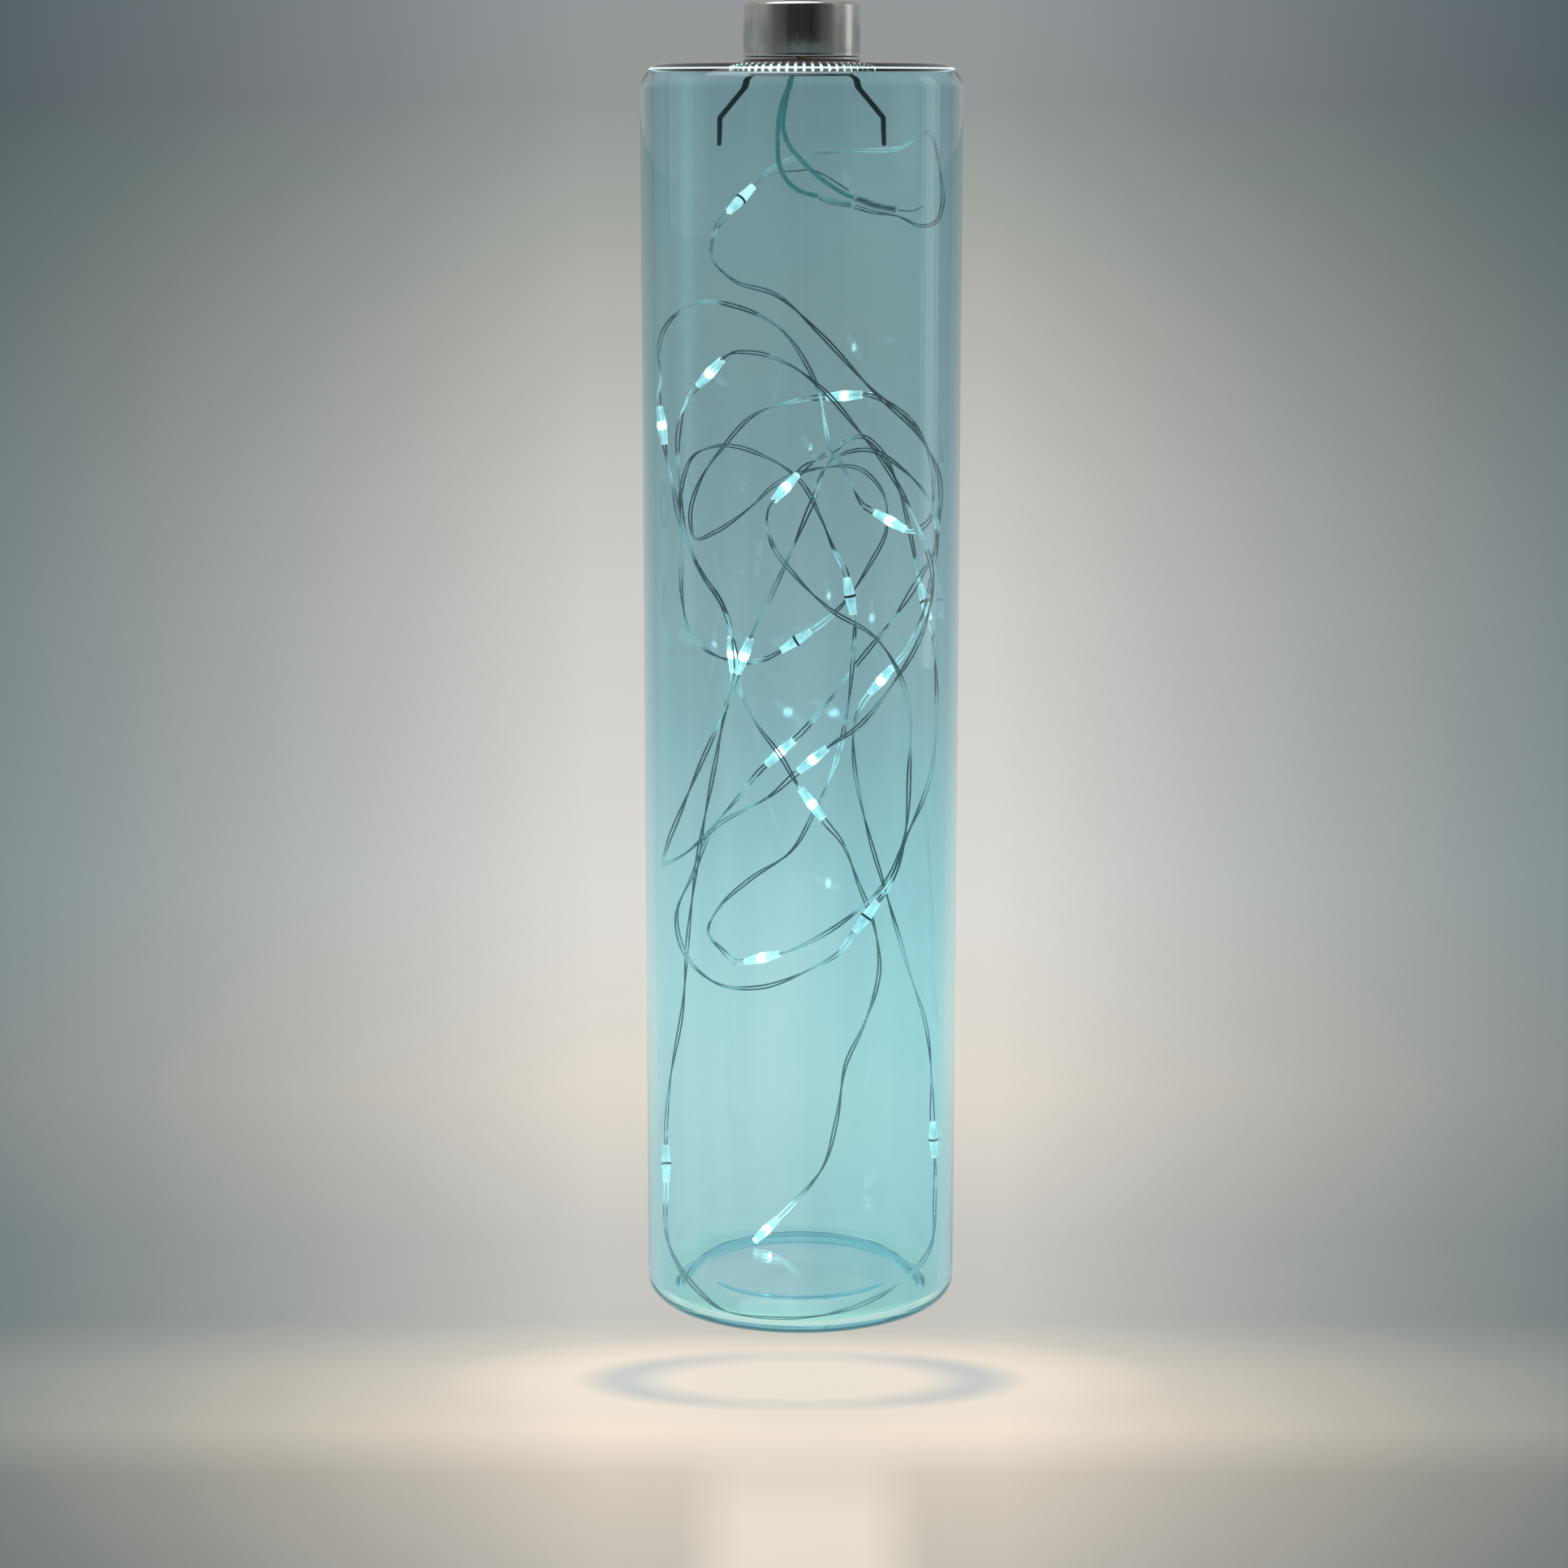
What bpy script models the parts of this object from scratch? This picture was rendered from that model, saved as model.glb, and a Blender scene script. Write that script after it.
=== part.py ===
"""A battery pendant light: a closed glass cylinder with a string of light beads inside,
hung from a metal cap that holds the battery unit. Metres, +Z up, origin under the middle of the glass."""

import math

import bmesh
import bpy
from mathutils import Matrix, Quaternion, Vector

mm = 0.001

# Glass cylinder
glass_radius = 33.0 * mm
glass_height = 261.0 * mm
glass_wall = 2.4 * mm
glass_crown = 0.2 * mm
shoulder_radius = 5.0 * mm
inner_shoulder_radius = 1.75 * mm
heel_radius = 4.0 * mm
inner_heel_radius = 2.2 * mm
hole_margin = 0.9 * mm
hole_edge_radius = 0.45 * mm
hole_seat_width = 2.2 * mm
push_up_radius = 22.4 * mm
push_up_height = 3.7 * mm
push_up_slope = 5.8 * mm
push_up_wall = 1.6 * mm
push_up_draft = 0.45 * mm
base_ring_thickness = 2.2 * mm
base_dome = 0.5 * mm
dome_bend = (0.55, 0.7)
slope_bends = ((0.25, 0.84), (0.5, 0.5), (0.75, 0.16))
crown_bends = (0.5, 0.0)
glass_sides = 56

# Clearances
stack_gap = 0.15 * mm
side_gap = 0.3 * mm
turning_gap = 0.2 * mm
cutter_overshoot = 1.0 * mm

# Gasket and holder
gasket_thickness = 0.2 * mm
plug_clearance = 0.55 * mm
plug_depth = 4.0 * mm
plug_chamfer = 0.4 * mm
flange_thickness = 0.4 * mm
flange_inset = 0.1 * mm
wiring_recess_radius = 4.3 * mm
wiring_recess_depth = 0.35 * mm
round_sides = 40
pin_sides = 12

# Cap
cap_radius = 12.0 * mm
cap_wall = 0.5 * mm
cap_height = 10.9 * mm
cap_edge_radius = 0.9 * mm
cap_lip_height = 0.7 * mm
cap_lip_depth = 0.12 * mm
cap_lip_step = 0.15 * mm
cap_sides = 48

# Battery tray, cells, contacts and board
tray_wall = 0.9 * mm
tray_floor = 0.4 * mm
cell_height = 3.2 * mm
cell_edge = 0.3 * mm
cell_crimp = 0.5 * mm
lid_inset = 1.4 * mm
lid_rise = 0.35 * mm
cell_sides = 32
contact_thickness = 0.2 * mm
contact_radius = 6.0 * mm
contact_sides = 24
tab_offset = 2.0 * mm
tab_slot_length = 1.2 * mm
strip_width = 1.2 * mm
strip_thickness = 0.1 * mm
strip_start_gap = 0.4 * mm
board_thickness = 0.6 * mm
resistor_size = (1.6 * mm, 0.8 * mm, 0.5 * mm)
resistor_place = (-5.0 * mm, 3.0 * mm)
resistor_edge = 0.08 * mm
peg_radius = 0.3 * mm
peg_sink = 0.4 * mm
peg_sides = 10
peg_angles = (60.0, 180.0, 300.0)

# Switch
switch_margin = 4.5 * mm
switch_length = 6.4 * mm
switch_width = 2.8 * mm
switch_height = 1.3 * mm
switch_wall = 0.4 * mm
shoe_length = 2.2 * mm
shoe_width = 1.4 * mm
shoe_height = 0.5 * mm
knob_length = 1.2 * mm
knob_width = 1.0 * mm
knob_rise = 0.8 * mm
switch_travel = 2.0 * mm

# Spring legs
leg_wire_radius = 0.55 * mm
leg_pin_radius = 0.4 * mm
leg_pin_offset = 6.2 * mm
leg_pin_inset = 0.8 * mm
leg_line_depth = 3.1 * mm
leg_bend = 1.0 * mm
leg_knee_margin = 1.4 * mm
leg_elbow_reach = 16.7 * mm
leg_elbow_drop = 8.2 * mm
leg_tip_reach = 16.9 * mm
leg_tip_drop = 13.9 * mm
leg_hook_angle = 240.0
leg_hook_steps = 14

# Hanging loop
loop_wire_radius = 0.8 * mm
loop_width = 10.0 * mm
loop_height = 9.5 * mm
loop_corner_radius = 1.8 * mm
bracket_thickness = 0.5 * mm
bracket_width = 3.0 * mm
bracket_switch_gap = 2.6 * mm
bracket_foot_margin = 1.6 * mm
rivet_radius = 0.5 * mm
rivet_head_radius = 1.1 * mm
rivet_head_height = 0.45 * mm
rivet_head_bends = ((0.55, 0.85), (0.9, 0.4))
rivet_tail_radius = 0.8 * mm
rivet_tail_thickness = 0.25 * mm
rivet_sides = 16

# Leads and their sleeves
grommet_offset = -1.9 * mm
grommet_radius = 1.9 * mm
grommet_head_radius = 2.2 * mm
grommet_head_thickness = 0.3 * mm
grommet_lift = 0.1 * mm
grommet_chamfer = 0.3 * mm
grommet_sides = 24
lead_radius = 0.5 * mm
lead_spacing = 1.5 * mm
lead_bore_gap = 0.12 * mm
lead_exit_drop = 0.5 * mm
lead_step = 2.5 * mm
sleeve_radius = 0.75 * mm
sleeve_sag = 0.3 * mm
return_wire_radius = 0.2 * mm
return_wire_step = 1.5 * mm

# String of lights
wire_radius = 0.4 * mm
wire_step = 8.0 * mm
wire_end_inset = 0.6 * mm
bead_length = 8.0 * mm
bead_radius = 1.15 * mm
bead_waist_radius = 1.0 * mm
bead_end_radius = 0.85 * mm
bead_bore_radius = 0.65 * mm
bead_swell = (0.6, 0.2)
bead_sides = 8
bead_straight = 0.8 * mm
end_gap = 0.3 * mm
gap_check_step = 1.0 * mm
gap_check_apart = 8.0 * mm

# Sizes that follow from the ones above
seat_z = glass_height + glass_crown
ceiling_z = seat_z - glass_wall
inner_radius = glass_radius - glass_wall
hole_radius = cap_radius - hole_margin
gasket_z = seat_z + stack_gap
flange_z = gasket_z + gasket_thickness + stack_gap
flange_top = flange_z + flange_thickness
plug_bottom = flange_z - plug_depth
plug_radius = hole_radius - plug_clearance
cap_bottom = flange_top + stack_gap
cap_top = cap_bottom + cap_height
cap_inner_radius = cap_radius - cap_wall
cap_ceiling = cap_top - cap_wall
flange_radius = cap_radius - flange_inset
tray_radius = cap_inner_radius - side_gap
tray_inner_radius = tray_radius - tray_wall
cell_radius = tray_inner_radius - side_gap
tray_z = flange_top + stack_gap
tray_floor_top = tray_z + tray_floor
lower_contact_z = tray_floor_top + stack_gap
lower_cell_z = lower_contact_z + contact_thickness + stack_gap
upper_cell_z = lower_cell_z + cell_height + stack_gap
upper_contact_z = upper_cell_z + cell_height + stack_gap
tray_top = upper_contact_z + contact_thickness + stack_gap
board_z = tray_top + stack_gap
board_top = board_z + board_thickness
switch_z = board_top + stack_gap
switch_top = switch_z + switch_height
switch_offset = cap_inner_radius - switch_margin
bracket_foot = switch_offset - bracket_switch_gap
leg_line_z = seat_z - leg_line_depth
leg_hook_radius = leg_wire_radius + leg_pin_radius + turning_gap
leg_pin_z = leg_line_z + leg_hook_radius
leg_knee_reach = hole_radius - leg_knee_margin
recess_bottom = flange_top - wiring_recess_depth
grommet_head_bottom = recess_bottom + grommet_lift
grommet_head_top = grommet_head_bottom + grommet_head_thickness
bar_z = cap_top + side_gap + loop_wire_radius
strap_z = cap_top + stack_gap
arch_radius = loop_wire_radius + side_gap

# All routes are laid in a glass of this height, and stretch with it
route_height = 261.0 * mm

# Route of the string, in millimetres: the points that lead to each bead, then the bead's two ends
string_route = [
    ([(11, 3, 232), (14, 3, 231), (20, 3, 230), (25, 2, 228), (28, 0, 229), (29, -1, 232), (29, 3, 239),
      (28, 7, 245), (27, 9, 247), (25, 11, 246), (22, 12, 244), (12, 12, 243), (0, 9, 242), (-7, 4, 239)],
     (-9.5, 1, 236.5), (-15.5, -3, 230.5)),
    ([(-18, -7, 226), (-18, -10, 222), (-14, -13, 218), (-5, -17, 215), (3, -19, 208), (14, -17, 196),
      (23, -13, 187), (28, -7, 177), (29, -1, 168), (28, 3, 156), (26, 5, 147), (23, 9, 139)],
     (19.5, 13, 134), (15.5, 15, 129)),
    ([(12, 18, 122), (12, 21, 111), (15, 22, 97), (19, 20, 84), (24, 15, 68), (28, 8, 56), (29, 4, 44)],
     (29, 2, 37), (29.5, 1, 29)),
    ([(29, -3, 21), (27, -11, 13), (18, -22, 7), (6, -28, 4), (-6, -28.5, 3), (-15, -24.5, 3),
      (-22, -19, 7), (-27, -12, 13), (-29, -5, 19)],
     (-29, -3, 25), (-29.5, 0, 32)),
    ([(-29, 4, 44), (-26, 8, 61), (-25, 11, 75), (-23, 13, 91), (-19, 12, 112), (-16, 10, 127)],
     (-14.5, 9, 134), (-15, 8, 142)),
    ([(-17, 8, 149), (-21, 9, 155), (-25, 9, 164), (-26, 8, 174), (-26, 4, 185), (-24, 0, 192)],
     (-21.5, -3, 195.5), (-16, -6, 201.5)),
    ([(-10, -9, 203), (-3, -12, 201), (4, -13, 196), (11, -13, 188), (17, -12, 180), (23, -9, 169),
      (27, -6, 155), (25, -4, 144), (19, -2, 133), (11, 0, 123)],
     (6, 1, 119.5), (-1, 2, 113.5)),
    ([(-6, 2, 109), (-17, 1, 103), (-26, -2, 96), (-29, -4, 95), (-28, -6, 99), (-25, -8, 107),
      (-21, -10, 117), (-16, -12, 129)],
     (-13, -13, 137.5), (-10.5, -14, 144.5)),
    ([(-7, -15, 152), (-3, -17, 161), (2, -18, 173), (6, -18, 182), (13, -18, 184), (21, -16, 179),
      (26, -11, 172), (28, -3, 163), (26, 5, 156), (20, 8, 146), (12, 8, 136), (5, 7, 127)],
     (-1.5, 6, 120), (-7.5, 6, 114.5)),
    ([(-13, 6, 108), (-19, 4, 101), (-23, 0, 92), (-26, -6, 85), (-23, -12, 76), (-17, -16, 72),
      (-9, -19, 72), (1, -21, 76), (8, -20, 80)],
     (11, -19, 84), (15.5, -18, 90)),
    ([(19, -17, 96), (21, -15, 103), (22, -13, 117), (22, -13, 129), (20, -14, 137), (15, -15, 145),
      (6, -17, 151), (-1, -19, 158), (-6, -19, 165), (-7, -17, 170)],
     (-5.5, -15, 173.5), (-1, -11, 178)),
    ([(3, -2, 180), (6, 11, 180), (9, 19, 177), (11, 18, 173), (13, 9, 170)],
     (15.5, 1, 169), (21.5, -3, 166)),
    ([(26, -2, 167), (28, 3, 172), (28, 8, 179), (25, 12, 186), (20, 14, 190), (16, 14, 192)],
     (12.5, 14, 192.5), (6, 15, 192)),
    ([(-1, 17, 191), (-10, 18, 188), (-17, 17, 181), (-22, 14, 174), (-24, 12, 167), (-23, 13, 162),
      (-19, 16, 163), (-11, 20, 168), (-5, 23, 173), (4, 24, 176), (13, 22, 176), (18, 21, 171),
      (19, 21, 164), (15, 23, 155), (8, 25, 145)],
     (2.5, 26, 140.5), (-4.5, 26, 136)),
    ([(-10, 24, 134), (-19, 20, 136), (-24, 16, 141), (-26, 12, 150), (-26, 12, 161), (-26, 12, 173),
      (-23, 12, 180), (-17, 12, 182), (-8, 10, 180), (0, 5, 175), (4, 2, 168), (7, 1, 161)],
     (9.5, 1, 155.5), (11, 1, 147.5)),
    ([(11, 1, 140), (10, 3, 128), (8, 6, 117), (3, 9, 104), (-2, 10, 95), (-11, 9, 89), (-18, 6, 83),
      (-20, 3, 79), (-17, -1, 76)],
     (-11.5, -4, 74), (-5, -6, 76)),
    ([(2, -7, 79), (11, -7, 85), (18, -6, 92), (22, -5, 101), (27, -3, 113), (29, 1, 126), (29, 4, 136)],
     (28, 8, 145.5), (26, 11.5, 152.5)),
    ([(24, 13, 162), (21, 14, 173), (17, 13, 181), (13, 11, 184), (9, 9, 183), (7, 7, 181), (5, 4, 187),
      (4, 2, 193), (1, 0, 200), (-4, -3, 207), (-13, -6, 212), (-21, -7, 213), (-26, -7, 210),
      (-29, -5, 204), (-29, -3, 197)],
     (-29.5, -2, 191), (-28.5, -2, 184)),
    ([(-27, -1, 176), (-25, 1, 165), (-21, 3, 156), (-16, 3, 148), (-14, 2, 140), (-13, 0, 132),
      (-10, -3, 126), (-4, -5, 118)],
     (0, -6, 111.5), (4.5, -7, 105.5)),
    ([(8, -6, 101), (12, -3, 91), (16, 2, 79), (17, 6, 69), (14, 9, 57), (10, 12, 47), (8, 13, 34),
      (5, 14, 23), (-1, 15, 15)],
     (-5.2, 15, 10.7), (-10, 10, 7.5)),
]

# Routes of the leads and the return wire, in millimetres, from the grommet down
lead_a_route = [(-2.6, -0.8, 255.6), (-3.4, -1, 252), (-3.8, -1.4, 248), (-2.6, -2.2, 244.4),
                (-0.4, -3, 241.8), (2.2, -3.7, 239.2), (5.6, -4.4, 236.6), (10.6, -5, 234)]
lead_b_route = [(-2.8, 0.9, 255.6), (-4.2, 1.1, 252), (-4.8, 1.3, 248), (-4.9, 1.6, 244.4),
                (-4.6, 2, 240.4), (-3.2, 2.4, 237.4), (-0.6, 2.7, 235.2), (3.4, 3, 234)]
sleeve_a_end = (19.2, -5, 231.6)
sleeve_b_end = (10.3, 3, 232.3)
return_route = [(9.6, -4.4, 235.4), (5.4, -3.4, 238), (2.2, -1.6, 239.4), (-1, 0.6, 239.2), (-5, 1, 238.8),
                (-8, 0.4, 237.8)]
tail_route = [(19.55, -5, 231.5), (22.6, -5, 231.4), (24.6, -5, 232.3)]

names = {}


def clear_scene():
    for old in list(bpy.data.objects):
        bpy.data.objects.remove(old, do_unlink=True)


def new_collection(name):
    made = bpy.data.collections.new(name)
    bpy.context.scene.collection.children.link(made)
    return made


def material(name, colour, roughness, metallic=0.0, transmission=0.0):
    made = bpy.data.materials.get(name) or bpy.data.materials.new(name)
    made.use_nodes = True
    shader = made.node_tree.nodes["Principled BSDF"]
    shader.inputs["Base Color"].default_value = (*colour, 1.0)
    shader.inputs["Roughness"].default_value = roughness
    shader.inputs["Metallic"].default_value = metallic
    shader.inputs["Transmission Weight"].default_value = transmission
    return made


def teal_glass():
    return material("teal_glass", (0.42, 0.72, 0.75), 0.03, 0.0, 1.0)


def nickel():
    return material("nickel", (0.55, 0.54, 0.51), 0.22, 1.0)


def spring_steel():
    return material("spring_steel", (0.03, 0.05, 0.05), 0.4, 0.8)


def black_plastic():
    return material("black_plastic", (0.03, 0.03, 0.03), 0.5)


def white_plastic():
    return material("white_plastic", (0.75, 0.75, 0.72), 0.45)


def grey_rubber():
    return material("grey_rubber", (0.10, 0.11, 0.11), 0.8)


def cell_steel():
    return material("cell_steel", (0.70, 0.70, 0.69), 0.3, 1.0)


def contact_brass():
    return material("contact_brass", (0.75, 0.62, 0.38), 0.35, 1.0)


def board_green():
    return material("board_green", (0.05, 0.22, 0.10), 0.5)


def lead_insulation():
    return material("lead_insulation", (0.05, 0.13, 0.13), 0.45)


def clear_sleeve():
    return material("clear_sleeve", (0.55, 0.68, 0.68), 0.35)


def silver_wire():
    return material("silver_wire", (0.62, 0.66, 0.66), 0.3, 1.0)


def bead_resin():
    return material("bead_resin", (0.60, 0.90, 0.92), 0.2, 0.0, 0.5)


def put(thing, look):
    """Places an object in the light's collection, with its material."""
    for old in list(thing.users_collection):
        old.objects.unlink(thing)
    names["light"].objects.link(thing)
    thing.data.materials.clear()
    thing.data.materials.append(look)
    return thing


def smooth(thing, angle=40.0):
    thing.data.shade_smooth()
    thing.data.set_sharp_from_angle(angle=math.radians(angle))


def arc(centre, radius, start, stop, steps):
    """Points of an arc in the X and Z plane, from angle start to stop in degrees, both ends included."""
    points = []
    for step in range(steps + 1):
        angle = math.radians(start + (stop - start) * step / steps)
        points.append((centre[0] + radius * math.cos(angle), centre[1] + radius * math.sin(angle)))
    return points


def turned(name, profile, look, steps, closed=False):
    """A turned solid: the profile is a list of radius and height, with its outer side from top to bottom."""
    mesh = bpy.data.meshes.new(name)
    form = bmesh.new()
    corners = [form.verts.new((radius, 0.0, height)) for radius, height in profile]
    for first, second in zip(corners, corners[1:]):
        form.edges.new((first, second))
    if closed:
        form.edges.new((corners[-1], corners[0]))
    form.to_mesh(mesh)
    form.free()
    thing = bpy.data.objects.new(name, mesh)
    put(thing, look)
    screw = thing.modifiers.new("turn", "SCREW")
    screw.steps = steps
    screw.render_steps = steps
    screw.use_merge_vertices = True
    screw.merge_threshold = 0.00001
    screw.use_smooth_shade = True
    return thing


def disc_profile(radius, bottom, top):
    return [(0.0, top), (radius, top), (radius, bottom), (0.0, bottom)]


def ring_profile(inner, outer, bottom, top):
    return [(inner, bottom), (inner, top), (outer, top), (outer, bottom)]


def box(name, size, centre, look=None, bevel=0.0):
    bpy.ops.mesh.primitive_cube_add(size=1.0, location=centre)
    thing = bpy.context.active_object
    thing.name = name
    thing.data.name = name
    thing.data.transform(Matrix.Diagonal((*size, 1.0)))
    if look:
        put(thing, look)
    if bevel:
        rounding = thing.modifiers.new("rounding", "BEVEL")
        rounding.width = bevel
        rounding.segments = 2
        rounding.harden_normals = False
    return thing


def cylinder(name, radius, length, centre, turn=None, look=None, sides=24):
    bpy.ops.mesh.primitive_cylinder_add(vertices=sides, radius=radius, depth=length, location=centre)
    thing = bpy.context.active_object
    thing.name = name
    thing.data.name = name
    if turn:
        thing.data.transform(turn)
    if look:
        put(thing, look)
        smooth(thing)
    return thing


def boolean(thing, tool, operation):
    """Adds an exact Boolean, and keeps its tool with the cutters."""
    for old in list(tool.users_collection):
        old.objects.unlink(tool)
    names["cutters"].objects.link(tool)
    tool.hide_render = True
    tool.display_type = "WIRE"
    join = thing.modifiers.new(tool.name, "BOOLEAN")
    join.operation = operation
    join.solver = "EXACT"
    join.object = tool


def cut(thing, tool):
    boolean(thing, tool, "DIFFERENCE")


def add(thing, tool):
    boolean(thing, tool, "UNION")


def wire(name, points, radius, look, resolution=2):
    """A round wire or tube through the points, with closed ends."""
    curve = bpy.data.curves.new(name, "CURVE")
    curve.dimensions = "3D"
    curve.bevel_depth = radius
    curve.bevel_resolution = resolution
    curve.use_fill_caps = True
    spline = curve.splines.new("POLY")
    spline.points.add(len(points) - 1)
    for corner, point in zip(spline.points, points):
        corner.co = (*point, 1.0)
    thing = bpy.data.objects.new(name, curve)
    return put(thing, look)


def rounded_path(corners, radius, steps=4):
    """The corners of a path with an arc in place of each inner one."""
    path = [Vector(corners[0])]
    for before, corner, after in zip(corners, corners[1:], corners[2:]):
        corner = Vector(corner)
        back = (Vector(before) - corner).normalized()
        ahead = (Vector(after) - corner).normalized()
        half = back.angle(ahead) / 2.0
        reach = radius / math.tan(half)
        centre = corner + (back + ahead).normalized() * (radius / math.sin(half))
        start = corner + back * reach - centre
        turn = math.pi - 2.0 * half
        axis = ahead.cross(back)
        for step in range(steps + 1):
            path.append(centre + Quaternion(axis, turn * step / steps) @ start)
    path.append(Vector(corners[-1]))
    return path


def smooth_run(points, first_way, last_way, step):
    """Points along a smooth curve through the given ones, which leaves and arrives in the given ways."""
    chords = [(second - first).length for first, second in zip(points, points[1:])]
    ways = [first_way]
    for index in range(1, len(points) - 1):
        before = (points[index] - points[index - 1]) / chords[index - 1]
        after = (points[index + 1] - points[index]) / chords[index]
        share = chords[index - 1] / (chords[index - 1] + chords[index])
        ways.append(before * (1.0 - share) + after * share)
    ways.append(last_way)
    path = []
    for index, chord in enumerate(chords):
        pieces = max(1, round(chord / step))
        for piece in range(pieces):
            t = piece / pieces
            path.append(
                points[index] * (2.0 * t**3 - 3.0 * t**2 + 1.0)
                + ways[index] * chord * (t**3 - 2.0 * t**2 + t)
                + points[index + 1] * (3.0 * t**2 - 2.0 * t**3)
                + ways[index + 1] * chord * (t**3 - t**2)
            )
    path.append(points[-1])
    return path


def route_point(point):
    across, back, height = point
    return Vector((across, back, height * glass_height / route_height)) * mm


def in_metres(points):
    return [route_point(point) for point in points]


def glass_profile():
    """Inner floor, inner wall, ceiling and hole, then the outer side down to the push-up of the base."""
    inner_top = glass_height - glass_wall
    ring_top = base_ring_thickness
    profile = [(0.0, ring_top + push_up_height + base_dome)]
    profile += [(push_up_radius * dome_bend[0], ring_top + push_up_height + base_dome * dome_bend[1])]
    profile += [(push_up_radius, ring_top + push_up_height)]
    for out, up in slope_bends:
        profile.append((push_up_radius + out * push_up_slope, ring_top + up * push_up_height))
    profile += [(push_up_radius + push_up_slope, ring_top)]
    heel_centre = (inner_radius - inner_heel_radius, ring_top + inner_heel_radius)
    profile += arc(heel_centre, inner_heel_radius, -90.0, 0.0, 4)
    shoulder_start = inner_radius - inner_shoulder_radius
    profile += arc((shoulder_start, inner_top - inner_shoulder_radius), inner_shoulder_radius, 0.0, 90.0, 4)
    seat_edge = hole_radius + hole_edge_radius + hole_seat_width
    for share in crown_bends:
        radius = seat_edge + (shoulder_start - seat_edge) * share
        profile.append((radius, ceiling_z - glass_crown * share**2))
    edge_centre = hole_radius + hole_edge_radius
    profile += arc((edge_centre, ceiling_z + hole_edge_radius), hole_edge_radius, 270.0, 180.0, 3)
    profile += arc((edge_centre, seat_z - hole_edge_radius), hole_edge_radius, 180.0, 90.0, 3)
    outer_start = glass_radius - shoulder_radius
    for share in reversed(crown_bends):
        radius = seat_edge + (outer_start - seat_edge) * share
        profile.append((radius, seat_z - glass_crown * share**2))
    profile += arc((outer_start, glass_height - shoulder_radius), shoulder_radius, 90.0, 0.0, 6)
    profile += arc((glass_radius - heel_radius, heel_radius), heel_radius, 0.0, -90.0, 5)
    under = push_up_radius - push_up_draft
    under_height = ring_top + push_up_height - push_up_wall
    profile += [(under + push_up_slope, 0.0)]
    for out, up in reversed(slope_bends):
        profile.append((under + out * push_up_slope, up * under_height))
    profile += [(under, under_height)]
    profile += [(push_up_radius * dome_bend[0], under_height + base_dome * dome_bend[1])]
    profile += [(0.0, under_height + base_dome)]
    return profile


def make_glass():
    turned("glass_cylinder", glass_profile(), teal_glass(), glass_sides)


def make_gasket():
    profile = ring_profile(hole_radius, flange_radius, gasket_z, gasket_z + gasket_thickness)
    turned("rubber_gasket", profile, grey_rubber(), round_sides, closed=True)


def make_holder():
    """The flange that rests on the gasket, and the plug that goes down through the hole."""
    profile = [
        (0.0, recess_bottom),
        (wiring_recess_radius, recess_bottom),
        (wiring_recess_radius, flange_top),
        (flange_radius, flange_top),
        (flange_radius, flange_z),
        (plug_radius, flange_z),
        (plug_radius, plug_bottom + plug_chamfer),
        (plug_radius - plug_chamfer, plug_bottom),
        (0.0, plug_bottom),
    ]
    holder = turned("holder_base", profile, black_plastic(), round_sides)
    slot_inner = leg_pin_offset - leg_hook_radius - leg_wire_radius - side_gap
    slot_outer = plug_radius + cutter_overshoot
    slot_top = leg_pin_z + leg_hook_radius + leg_wire_radius + turning_gap
    slot_bottom = plug_bottom - cutter_overshoot
    slot_size = (slot_outer - slot_inner, 2.0 * (leg_wire_radius + side_gap), slot_top - slot_bottom)
    slot_x = (slot_outer + slot_inner) / 2.0
    slot_z = (slot_top + slot_bottom) / 2.0
    across = Matrix.Rotation(math.pi / 2.0, 4, "X")
    for side, name in ((-1.0, "left"), (1.0, "right")):
        pin_place = (side * leg_pin_offset, 0.0, leg_pin_z)
        bore = leg_pin_radius + turning_gap / 2.0
        cut(holder, cylinder(f"pin_cutter_{name}", bore, 3.0 * plug_radius, pin_place, across, sides=pin_sides))
        cut(holder, box(f"slot_cutter_{name}", slot_size, (side * slot_x, 0.0, slot_z)))
    hole_place = (grommet_offset, 0.0, (plug_bottom + flange_top) / 2.0)
    cut(holder, cylinder("grommet_cutter", grommet_radius + stack_gap, 2.0 * plug_depth, hole_place))
    groove_length = flange_radius + cutter_overshoot
    groove_size = (strip_width + 2.0 * side_gap, groove_length, 2.0 * wiring_recess_depth)
    cut(holder, box("groove_cutter", groove_size, (0.0, -groove_length / 2.0, flange_top)))


def make_leg_pins():
    across = Matrix.Rotation(math.pi / 2.0, 4, "X")
    chord = 2.0 * math.sqrt(plug_radius**2 - leg_pin_offset**2)
    for side, name in ((-1.0, "left"), (1.0, "right")):
        place = (side * leg_pin_offset, 0.0, leg_pin_z)
        length = chord - 2.0 * leg_pin_inset
        cylinder(f"leg_pin_{name}", leg_pin_radius, length, place, across, nickel(), sides=pin_sides)


def leg_path():
    """The right leg: a hook round the pin, then out under the plug and down along two bends."""
    centre = Vector((leg_pin_offset, 0.0, leg_pin_z))
    path = []
    for step in range(leg_hook_steps + 1):
        angle = math.radians(-90.0 - leg_hook_angle * (1.0 - step / leg_hook_steps))
        path.append(centre + leg_hook_radius * Vector((math.cos(angle), 0.0, math.sin(angle))))
    corners = [path[-1]]
    bends = ((leg_knee_reach, 0.0), (leg_elbow_reach, leg_elbow_drop), (leg_tip_reach, leg_tip_drop))
    for reach, drop in bends:
        corners.append(Vector((reach, 0.0, leg_line_z - drop)))
    return path[:-1] + rounded_path(corners, leg_bend)


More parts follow.
